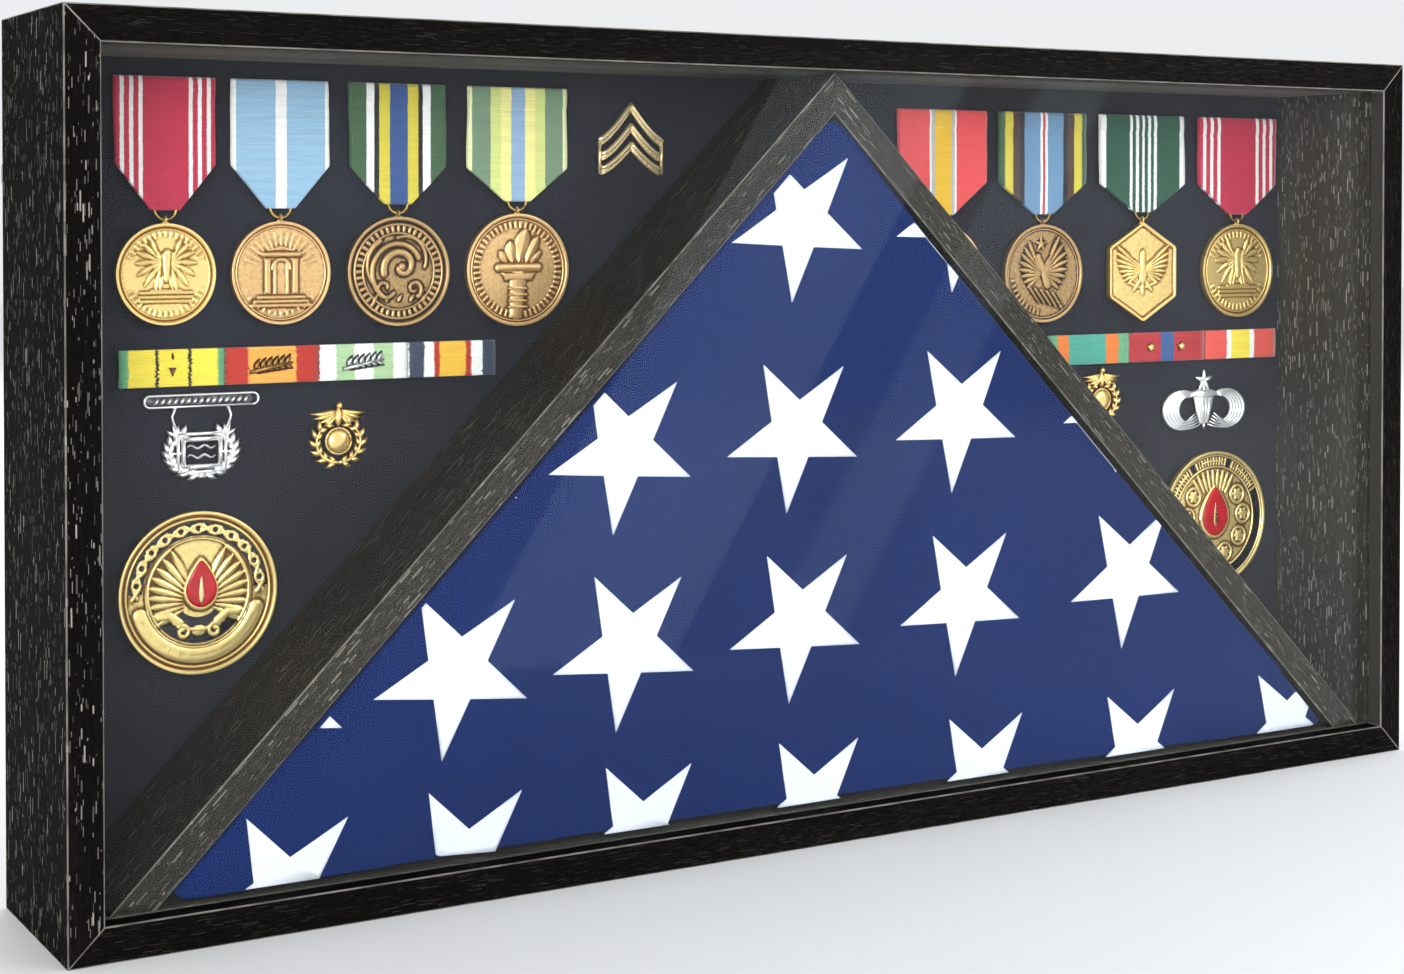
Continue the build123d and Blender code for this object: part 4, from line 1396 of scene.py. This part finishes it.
def make_medals():
    """Eight medals, each a ribbon and a struck pendant."""
    metals = {
        "bright_gold": struck_metal("bright_gold", srgb(250, 216, 140), srgb(132, 84, 30), 0.3, 0.5),
        "bronze": struck_metal("bronze", srgb(226, 184, 128), srgb(104, 68, 38), 0.34, 0.55),
        "antique_bronze": struck_metal("antique_bronze", srgb(188, 152, 104), srgb(50, 34, 22), 0.34, 0.6),
    }
    for number, (stripes, metal, design) in MEDALS.items():
        make_ribbon(number, stripes)
        make_pendant(number, metal, metals[metal], design)


def teardrop(centre, half, up, down, steps=22):
    """An upright drop: pointed at the top, round at the foot."""
    outline = []
    for step in range(steps):
        turn = 2 * math.pi * step / steps
        rise = math.cos(turn)
        narrow = (1 - 0.52 * max(rise, 0.0) ** 1.3)
        outline.append((centre[0] + half * math.sin(turn) * narrow,
                        centre[1] + (up if rise > 0 else down) * rise))
    return outline[::-1]


def design_left_coin(relief):
    """Links round the top, a fan of feathers round an enamel drop, a scroll and a plain band."""
    relief.hoop(0.5, 0.905, 0.014)
    relief.hoop(0.45, 0.665, 0.012)
    for index, angle in enumerate(np.linspace(2, 178, 23)):
        middle = heading((0, 0), angle, 0.79)
        if index % 2:
            relief.stroke(0.55, arc(middle, 0.052, 0, 360, 12), 0.02)
        else:
            for height, lean, reach, half in ((0.55, 55, 0.075, 0.024), (0.5, -55, 0.06, 0.018)):
                ends = [heading(middle, angle + lean, reach), heading(middle, angle + lean + 180, reach)]
                relief.stroke(height, ends, half)
    for side in (-1, 1):
        for index in range(9):
            angle = on_side(62 - 11 * index, side)
            root = heading((0, -0.1), angle, 0.2)
            relief.leaf(0.85 - 0.03 * index, root, heading(root, angle, 0.52 - 0.012 * index), 0.052, 1.2)
        relief.stroke(0.8, arc((0, 0.02), 0.64, 90 - side * 35, 90 - side * 128), 0.03, 0.02)
        relief.stroke(0.85, [(side * 0.24, -0.36), (side * 0.36, -0.26), (side * 0.5, -0.27)], 0.06, 0.05)
        relief.stroke(0.8, spiral((side * 0.2, -0.47), 0.03, 0.09, 90, 90 - side * 400), 0.028)
    relief.dome(0.6, (0, -0.46), 0.1, 0.07)
    relief.stroke(0.7, arc((0, 0.1), 0.55, 235, 305), 0.025)
    relief.stroke(0.8, arc((0, 0), 0.77, 198, 342, 30), 0.095)
    groove = np.clip(1 - np.abs(np.hypot(relief.x, relief.z) - 0.77) / 0.05, 0, 1)
    relief.sink(0.14, groove * (relief.z < -0.3))
    for start in (208, 240, 272, 304):
        relief.dashes(0.8, 0.77, 0.045, 0.012, start, start + 22, 7)
    relief.patch(0.9, teardrop((0.03, 0.05), 0.245, 0.4, 0.28), 0.03)


def design_right_coin(relief):
    """An enamel drop between round bosses, inside an enamel ring."""
    relief.hoop(0.55, 0.77, 0.014)
    relief.hoop(0.5, 0.94, 0.012)
    for start in (28, 76, 124):
        relief.dashes(0.6, 0.855, 0.1, 0.016, start, start + 38, 11)
        relief.stroke(0.6, arc((0, 0), 0.855, start + 4, start + 30), 0.014)
    for angle in (38, 4, -32, -70, 212, 176, 142):
        middle = heading((0.02, 0.0), angle, 0.55)
        relief.stroke(0.7, arc(middle, 0.13, 0, 360, 20), 0.022)
        relief.dome(0.75, middle, 0.075)
        for step in range(6):
            petal = heading(middle, 60 * step, 0.07)
            relief.dome(0.6, petal, 0.028)
    for angle in np.linspace(60, 125, 9):
        relief.leaf(0.6, heading((0, 0), angle, 0.42), heading((0, 0), angle, 0.74), 0.04)
    relief.patch(0.85, teardrop((0.0, 0.05), 0.31, 0.47, 0.36), 0.03)


def make_coin(name, design, shape, inner_mark, bands):
    """A struck coin with an enamel drop, a bright mark on it, and bands of enamel in its field."""
    low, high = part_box(name)
    radius = (high.x - low.x) / 2 / MM
    centre = ((low.x + high.x) / 2, (low.z + high.z) / 2)
    relief = Relief(118, 330)
    design(relief)
    relief.grain(0.04, 12)
    relief.rim(1.0, 0.05)
    gold = struck_metal(f"{name}_gold", srgb(252, 224, 148), srgb(104, 66, 24), 0.28, 0.5)
    red = enamel("red_enamel", srgb(158, 8, 20), srgb(192, 18, 32))
    bright = plain_metal(f"{name}_mark", srgb(248, 226, 170), srgb(236, 206, 140), 0.24)
    front, back = depth_of(low.y), depth_of(high.y)
    coin = struck_piece(f"{name}_struck", relief, centre, radius, front, back, gold, "back_assembly",
                        name,
                        enamels=((red, shape, 0.92, 0.25), (bright, inner_mark, 1.1, 0.18)))
    for material, inner, outer, start, end in bands:
        slot = len(coin.data.materials)
        coin.data.materials.append(material)
        for polygon in coin.data.polygons:
            x = (polygon.center.x - centre[0]) / (radius * MM)
            z = (polygon.center.z - centre[1]) / (radius * MM)
            lift = front + RELIEF_DEPTH - depth_of(polygon.center.y)
            turn = math.degrees(math.atan2(z, x)) % 360
            if inner < math.hypot(x, z) < outer and start <= turn <= end and lift < 0.2:
                polygon.material_index = slot


def make_coins():
    """Two struck coins with red drops and black bands of enamel."""
    black = enamel("black_enamel", srgb(12, 12, 18), srgb(26, 26, 34))
    make_coin("coin_left", design_left_coin, teardrop((0.03, 0.05), 0.2, 0.35, 0.23),
              teardrop((0.03, -0.02), 0.035, 0.24, 0.12),
              ((black, 0.7, 0.88, 2, 178), (black, 0.3, 0.62, 205, 335)))
    make_coin("coin_right", design_right_coin, teardrop((0.0, 0.05), 0.262, 0.42, 0.31),
              teardrop((0.0, 0.0), 0.035, 0.26, 0.14), ((black, 0.785, 0.925, 0, 360),))


# ---------------------------------------------------------------- pinned badges

class Jewel(Shell):
    """A small metal badge, built up in millimetres: across, up, and proud of its base."""

    def __init__(self, base_depth):
        super().__init__()
        self.base_depth = base_depth

    def build(self, points, faces):
        """Adds a shape; its patina is the darker the lower a point lies."""
        placed = [(across * MM, at_depth(self.base_depth - proud), up * MM) for across, up, proud in points]
        self.add(placed, faces, [max(0.0, min(1.0, 1.25 - 0.75 * proud)) for _, _, proud in points])

    def leaf(self, root, tip, half, top, base=0.0, bend=0.0, steps=9):
        """A pointed leaf with a ridge; bend moves its middle sideways."""
        dx, dz = tip[0] - root[0], tip[1] - root[1]
        length = math.hypot(dx, dz)
        nx, nz = -dz / length, dx / length
        points = []
        profile = ((-1.0, 0.0), (-0.75, 0.55), (0.0, 1.0), (0.75, 0.55), (1.0, 0.0))
        for step in range(steps + 1):
            share = step / steps
            wide = half * max(0.06, math.sin(math.pi * share ** 0.85)) ** 0.8
            bow = bend * math.sin(math.pi * share)
            x, z = root[0] + dx * share + nx * bow, root[1] + dz * share + nz * bow
            rise = (top - base) * (0.45 + 0.55 * max(0.0, math.sin(math.pi * min(1.0, share + 0.12))))
            for side, lift in profile:
                points.append((x + nx * wide * side, z + nz * wide * side, base + rise * lift))
        wide = len(profile)
        self.close_tube(points, wide, steps + 1)

    def wire(self, path, radii, proud, round_steps=8):
        """A round wire along a path, thin or thick along its way, at a height."""
        points = []
        count = len(path)
        for index, (x, z) in enumerate(path):
            before, after = path[max(index - 1, 0)], path[min(index + 1, count - 1)]
            length = math.hypot(after[0] - before[0], after[1] - before[1])
            nx, nz = -(after[1] - before[1]) / length, (after[0] - before[0]) / length
            share = index / (count - 1)
            radius = float(np.interp(share, np.linspace(0, 1, len(radii)), radii))
            for part in range(round_steps):
                turn = 2 * math.pi * part / round_steps
                side = radius * math.cos(turn)
                points.append((x + nx * side, z + nz * side, proud + radius * math.sin(turn)))
        self.close_tube(points, round_steps, count)

    def close_tube(self, points, count, rings):
        """Adds rings of points as a tube with closed ends."""
        ends = [tuple(range(count - 1, -1, -1)), tuple(range((rings - 1) * count, rings * count))]
        self.build(points, ring_faces(0, count, rings) + ends)

    def plate(self, corners, top, bevel=0.5, base=0.0):
        """A flat-topped plate with bevelled edges, over an outline drawn anticlockwise."""
        inner = inset(corners, bevel)
        count = len(corners)
        points = [(x, z, base) for x, z in corners]
        points += [(x, z, base + (top - base) * 0.6) for x, z in corners]
        points += [(x, z, top) for x, z in inner]
        self.close_tube(points, count, 3)

    def dome(self, centre, across, up, top, base=0.0, steps=20, rows=6):
        """A domed boss."""
        points = [(*centre, top)]
        for row in range(1, rows + 1):
            share = row / rows
            lift = base + (top - base) * math.sqrt(max(0.0, 1 - share ** 2.4))
            points += [(*oval(centre, across * share, up * share, 360 * step / steps), lift)
                       for step in range(steps)]
        foot = tuple(range(len(points) - steps, len(points)))
        self.build(points, fan(0, 1, steps) + ring_faces(1, steps, rows) + [foot])

    def finish(self, name, material, node, slot):
        """Makes the piece, with every face of its closed shapes turned outwards."""
        badge = add_piece(name, self.points, self.faces, (material,), "back_assembly", node,
                          patina=self.patina)
        shape = bmesh.new()
        shape.from_mesh(badge.data)
        bmesh.ops.recalc_face_normals(shape, faces=shape.faces)
        shape.to_mesh(badge.data)
        shape.free()


def inset(corners, distance):
    """An outline moved inwards by a distance."""
    result = []
    count = len(corners)
    for index in range(count):
        before, here = Vector(corners[index - 1]), Vector(corners[index])
        after = Vector(corners[(index + 1) % count])
        first, second = (here - before).normalized(), (after - here).normalized()
        normal = Vector((-first.y, first.x)) + Vector((-second.y, second.x))
        normal.normalize()
        lean = max(0.45, normal.dot(Vector((-first.y, first.x))))
        result.append(tuple(here + normal * distance / lean))
    return result


def box_mm(node):
    """A node's middle across, and its left, right, bottom and top, in millimetres."""
    low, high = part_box(node)
    return (low.x + high.x) / 2 / MM, low.x / MM, high.x / MM, low.z / MM, high.z / MM


def make_chevron_pin(metal):
    """Three swept chevrons, each with a bold upper and a thin lower edge, joined by side bars."""
    across, left, right, bottom, top = box_mm("chevron_pin")
    bar = 3.9
    half = (right - left) / 2
    tall = top - bottom
    jewel = Jewel(PIN_DEPTH)
    shares = np.linspace(0, 1, 9)
    for lower, drop, reach in ((0.0, 0.49, 0.0), (0.28, 0.4, 1.6), (0.53, 0.34, 1.6)):
        peak = top - lower * tall
        fall = [drop * tall * (1 - (1 - share) ** 1.4) for share in shares]
        for side in (-1, 1):
            wide = half - reach
            outer = [(across + side * wide * s, peak - f) for s, f in zip(shares, fall)]
            inner = [(across + side * wide * s, peak - bar - f) for s, f in zip(shares, fall)]
            corners = outer + inner[::-1]
            jewel.plate(corners if side < 0 else corners[::-1], 1.2, 0.3)
            jewel.wire([(x, z - 1.0) for x, z in outer], (0.95, 0.95), 1.35)
            jewel.wire([(x, z + 0.5) for x, z in inner], (0.5, 0.5), 1.0)
    for side in (-1, 1):
        edge = across + side * (half - 0.7)
        jewel.wire([(edge, bottom + 0.6), (edge, top - 0.49 * tall - 0.6)], (0.75, 0.75), 1.1)
    jewel.finish("chevron_badge", metal, "chevron_pin", "bright_gold")


def make_service_badge(metal):
    """A bar with a plain beaded panel, and a wreath round an open square hung on two links."""
    across, left, right, bottom, top = box_mm("service_badge")
    bar_half, bar_wide = 2.8, (right - left) / 2
    up = top - bar_half
    wreath = bottom + 10.6
    jewel = Jewel(PIN_DEPTH)
    ends = [oval((across + side * (bar_wide - bar_half), up), side * bar_half, side * bar_half, a)
            for side in (1, -1) for a in range(-90, 91, 18)]
    jewel.plate(ends, 0.6, 0.3)
    loop = inset(ends, 0.6)
    jewel.wire(loop + loop[:1], (0.45, 0.45), 1.6)
    for step in range(15):
        x = across - 17.5 + 2.5 * step
        jewel.leaf((x - 0.9, up - 1.2), (x + 0.9, up + 1.2), 0.8, 2.3, 0.6)
    for side in (-1, 1):
        jewel.wire([(across + side * 10.2, up - bar_half + 0.4), (across + side * 11.6, up - 6),
                    (across + side * 10.0, wreath + 8.5)], (0.65, 0.55, 0.65), 1.1)
        for angle, reach in ((112, 5.6), (82, 5.0), (148, 5.2), (58, 3.8)):
            root = (across + side * 9.6, wreath + 6.2)
            jewel.leaf(root, heading(root, on_side(angle, -side), reach), 0.95, 1.9)
        for step in range(9):
            turn = on_side(-84 + 17 * step, side)
            root = oval((across, wreath), 12.6, 8.4, turn)
            for lean, reach, half, lift in ((62, 5.0, 1.35, 2.1), (118, 4.2, 1.25, 1.9)):
                jewel.leaf(root, heading(root, turn + side * lean, reach), half, lift)
        stem = [oval((across, wreath), 12.4, 8.4, on_side(a, side)) for a in range(-96, 62, 9)]
        jewel.wire(stem, (1.0, 0.7), 1.0)
        jewel.leaf((across - side * 1.5, wreath - 9.6), (across + side * 8, wreath - 6.8), 1.1, 2.0)
    square = [(-1, -1), (1, -1), (1, 1), (-1, 1)]
    for grow, thick in ((0.0, 0.95), (2.1, 0.7)):
        for ends in sides_of([(across + x * (7.2 + grow), wreath + z * (5.2 + grow)) for x, z in square]):
            jewel.wire(ends, (thick, thick), 1.3)
    for x, z in square:
        jewel.dome((across + x * 8.2, wreath + z * 6.2), 1.3, 1.3, 2.2)
    for row in range(2):
        level = wreath + 2.2 - 3.6 * row
        wave = [(across - 5.5 + 1.1 * i, level + 0.7 * math.sin(i * 1.3)) for i in range(11)]
        jewel.wire(wave, (0.3, 0.6, 0.3), 0.7)
    for side in (-1, 1):
        jewel.wire([(across + side * 7.2, wreath), (across + side * 13, wreath)], (0.6, 0.5), 1.0)
    jewel.finish("wreath_badge", metal, "service_badge", "silver")


def make_emblem(name, metal):
    """Spread wings over a domed boss, between two leafy sprays."""
    across, left, right, bottom, top = box_mm(name)
    up = (bottom + top) / 2
    scale = (right - left) / 2 / 13.4
    jewel = Jewel(PIN_DEPTH)

    def at(x, z):
        return (across + x * scale, up + z * scale)

    for side in (-1, 1):
        for x, z, half in ((11.4, 8.2, 1.25), (10.2, 6.2, 1.15), (8.4, 4.4, 1.0), (6.2, 3.0, 0.9)):
            jewel.leaf(at(side * 1.2, 9.4 - 0.35 * (11.4 - x)), at(side * x, z), half * scale, 2.1,
                       bend=-side * 0.7)
        for step in range(7):
            turn = -82 + 23 * step
            root = at(*oval((0, -3.2), side * 9.2, 8, turn))
            for lean, reach, half, lift in ((55, 4.6, 1.2, 2.0), (128, 3.8, 1.05, 1.8)):
                tip = heading(root, on_side(turn + lean, side), reach * scale)
                jewel.leaf(root, tip, half * scale, lift)
        stem = [at(*oval((0, -3.2), side * 9.2, 8, a)) for a in range(-92, 58, 10)]
        jewel.wire(stem, (0.75, 0.4), 1.0)
    jewel.dome(at(0, -2.8), 5.2 * scale, 5.0 * scale, 2.2)
    jewel.wire([at(*oval((0, -2.8), 5.3, 5.1, a)) for a in range(0, 361, 18)], (0.45, 0.45), 0.9)
    jewel.leaf(at(0, 3.0), at(0, 11.6), 1.9 * scale, 2.2)
    jewel.dome(at(0.4, 11.2), 1.5 * scale, 1.5 * scale, 2.2)
    jewel.finish(f"{name}_pin", metal, name, "bright_gold")


def make_wing_badge(metal):
    """Two wings curled into ovals, with a shield between them and a star above."""
    across, _, _, bottom, _ = box_mm("wing_badge")
    up = bottom + 10.5
    jewel = Jewel(PIN_DEPTH)
    for side in (-1, 1):
        for layer in range(5):
            wide, tall = 12.2 - 1.35 * layer, 9.3 - 0.75 * layer
            middle = (across + side * (13.8 - 0.75 * layer), up - 0.2 + 0.1 * layer)
            feather = [oval(middle, side * wide, tall, a)
                       for a in range(128 - 7 * layer, -102 + 5 * layer, -9)]
            feather.append((across + side * (6.6 + 0.5 * layer), up - 8.9 + 1.25 * layer))
            feather.append((across + side * (2.6 + 0.9 * layer), up - 7.6 + 1.35 * layer))
            jewel.wire(feather, (0.5, 0.9, 1.2, 1.1, 0.8, 0.4), 1.0 + 0.1 * layer)
    shield = [(-6.8, 6.2), (-3.0, -7.4), (3.0, -7.4), (6.8, 6.2)]
    jewel.plate([(across + x, up + z) for x, z in shield], 1.5, 0.7)
    for column in (-3.9, -1.3, 1.3, 3.9):
        jewel.wire([(across + column, up + 5.2), (across + column * 0.5, up - 6.6)], (0.42, 0.3), 1.5)
    jewel.leaf((across, up - 6.6), (across, bottom + 0.1), 1.0, 2.0)
    crown = [(-9.6, 6.0), (9.6, 6.0), (8.2, 8.6), (3.8, 9.8), (-3.8, 9.8), (-8.2, 8.6)]
    jewel.plate([(across + x, up + z) for x, z in crown], 2.1, 0.8)
    star = star_outline(across, up + 14.0, 5.8, 90, 0.42)
    jewel.plate(star, 1.2, 0.4)
    for index in range(0, 10, 2):
        jewel.leaf((across, up + 14.0), star[index], 1.2, 2.1, 0.8)
    jewel.wire([(across, up + 8.8), (across, up + 12)], (1.0, 0.8), 0.9)
    jewel.finish("wings_badge", metal, "wing_badge", "silver")


# ---------------------------------------------------------------- ribbon bars

BAR_GREEN, BAR_YELLOW = srgb(98, 164, 120), srgb(242, 218, 70)
BAR_RED, BAR_ORANGE = srgb(180, 42, 28), srgb(226, 162, 70)
BAR_LIME, BAR_WHITE = srgb(166, 198, 150), srgb(240, 242, 240)
BAR_SLATE, BAR_GOLD = srgb(52, 62, 84), srgb(234, 184, 62)
BAR_CORAL, BAR_CRIMSON, BAR_BLUE = srgb(224, 84, 74), srgb(174, 40, 48), srgb(52, 86, 140)

# Each bar's segments: their share of the length, and their stripes
BAR_SEGMENTS = {
    "ribbon_bar_left": (
        (0.264, ((0.08, BAR_GREEN), (0.25, BAR_YELLOW), (0.03, BLACK), (0.28, BAR_YELLOW), (0.03, BLACK),
                 (0.25, BAR_YELLOW), (0.08, BAR_GREEN))),
        (0.244, ((0.24, BAR_RED), (0.51, BAR_ORANGE), (0.25, BAR_RED))),
        (0.243, ((0.18, BAR_WHITE), (0.22, BAR_LIME), (0.2, BAR_WHITE), (0.22, BAR_LIME),
                 (0.18, BAR_WHITE))),
        (0.249, ((0.17, BAR_SLATE), (0.12, BAR_WHITE), (0.06, BAR_RED), (0.3, BAR_GOLD), (0.06, BAR_RED),
                 (0.12, BAR_WHITE), (0.17, BAR_SLATE))),
    ),
    "ribbon_bar_right": (
        (0.338, ((0.1, BAR_GREEN), (0.14, ORANGE), (0.46, TEAL), (0.16, ORANGE), (0.14, BAR_GREEN))),
        (0.334, ((0.41, BAR_CRIMSON), (0.18, BAR_BLUE), (0.41, BAR_CRIMSON))),
        (0.328, ((0.3, BAR_CORAL), (0.06, BAR_WHITE), (0.27, BAR_YELLOW), (0.06, BAR_WHITE),
                 (0.31, BAR_CORAL))),
    ),
}


def make_ribbon_bar(name):
    """Short ribbons wrapped round a carrier, side by side."""
    low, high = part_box(name)
    length, gap, turn_in = high.x - low.x, 0.3 * MM, 3.2 * MM
    half_deep = (high.y - low.y) / 2 - 0.15 * MM
    centre_y = (low.y + high.y) / 2
    path = [(low.z + turn_in, half_deep)]
    for step in range(9):
        turn = math.radians(90 - 22.5 * step)
        path.append((low.z + half_deep - half_deep * math.cos(turn), half_deep * math.sin(turn)))
    for step in range(1, 10):
        share = step / 10
        crown = 0.22 * MM * math.sin(math.pi * share)
        path.append((low.z + half_deep + (high.z - low.z - 2 * half_deep) * share, -half_deep - crown))
    for step in range(9):
        turn = math.radians(-90 + 22.5 * step)
        path.append((high.z - half_deep + half_deep * math.cos(turn), half_deep * math.sin(turn)))
    path.append((high.z - turn_in, half_deep))
    points, faces = [], []
    steps = 14
    start = low.x
    for segment, (share, _) in enumerate(BAR_SEGMENTS[name]):
        wide = length * share
        offset = len(points)
        for column in range(steps + 1):
            across = column / steps
            x = start + gap / 2 + (wide - gap) * across
            pull = 0.18 * MM * bell(min(across, 1 - across) * wide, 0.9 * MM)
            for z, y in path:
                ripple = 0.05 * MM * noise.noise(Vector((x * 90, segment, z * 90)))
                shrink = 1 - pull / half_deep * 0.5
                points.append((x, centre_y + y * shrink + ripple, z))
        faces += grid_faces(steps, len(path) - 1, offset)
        start += wide
    stripes = [(share * part, colour) for share, bands in BAR_SEGMENTS[name] for part, colour in bands]
    material = striped(f"{name}_weave", low.x, length, stripes)
    bar = add_piece(f"{name}_cloth", points, faces, (material,), "back_assembly", name)
    thicken(bar)


def make_bar_devices(gold, bronze, silver):
    """Small plain devices pinned on the ribbon bars: leafy sprays, a point and two studs."""
    low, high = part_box("ribbon_bar_left")
    base = depth_of(low.y) - 0.25
    length, up = (high.x - low.x) / MM, (low.z + high.z) / 2 / MM
    left = low.x / MM
    point = Jewel(base)
    across = left + 0.132 * length
    point.plate([(across - 1.5, up + 0.2), (across, up - 3.2), (across + 1.5, up + 0.2)], 0.8, 0.3)
    point.leaf((across + 0.3, up + 3.2), (across + 0.1, up + 6.0), 0.5, 0.7)
    point.finish("bar_point_device", bronze, None, "bronze")
    for name, share, metal, slot in (("bar_bronze_spray", 0.385, bronze, "bronze"),
                                     ("bar_silver_spray", 0.63, silver, "silver")):
        spray_pin = Jewel(base)
        across = left + share * length
        for step in range(6):
            root = (across - 7.2 + 2.5 * step, up - 1.6 + 0.3 * step)
            spray_pin.leaf(root, heading(root, 62, 5.0), 1.15, 1.3)
            spray_pin.leaf(root, heading(root, -24, 3.8), 1.05, 1.1)
        spray_pin.wire([(across - 9, up - 2.6), (across + 8.2, up + 0.8)], (0.8, 0.5), 0.6)
        spray_pin.finish(name, metal, None, slot)
    low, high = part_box("ribbon_bar_right")
    base = depth_of(low.y) - 0.25
    length, up = (high.x - low.x) / MM, (low.z + high.z) / 2 / MM
    studs = Jewel(base)
    for share in (0.43, 0.565):
        across = low.x / MM + share * length
        studs.plate(star_outline(across, up, 2.6, 90, 0.6), 0.9, 0.15)
        studs.dome((across, up), 2.0, 2.0, 1.6)
    studs.finish("bar_studs", gold, None, "bright_gold")


# The depth of the plane that the badges are built up from
PIN_DEPTH = depth_of(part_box("chevron_pin")[0].y) + 2.2


def make_badges():
    """The pinned badges, the ribbon bars and the devices on them."""
    gold = struck_metal("pin_gold", srgb(252, 216, 140), srgb(140, 88, 36), 0.24, 0.42)
    bronze = struck_metal("device_bronze", srgb(188, 136, 70), srgb(84, 50, 28), 0.26, 0.5)
    silver = struck_metal("bright_silver", srgb(252, 252, 252), srgb(66, 66, 70), 0.16, 0.4)
    pale_gold = struck_metal("chevron_gold", srgb(248, 226, 178), srgb(128, 92, 66), 0.22, 0.42)
    make_chevron_pin(pale_gold)
    make_service_badge(silver)
    make_emblem("laurel_emblem_left", gold)
    make_emblem("laurel_emblem_right", gold)
    make_wing_badge(silver)
    make_ribbon_bar("ribbon_bar_left")
    make_ribbon_bar("ribbon_bar_right")
    make_bar_devices(gold, bronze, silver)


# ---------------------------------------------------------------- everything

set_camera()
set_studio()
dress_case()
make_flag()
make_backing_cloth()
make_medals()
make_coins()
make_badges()
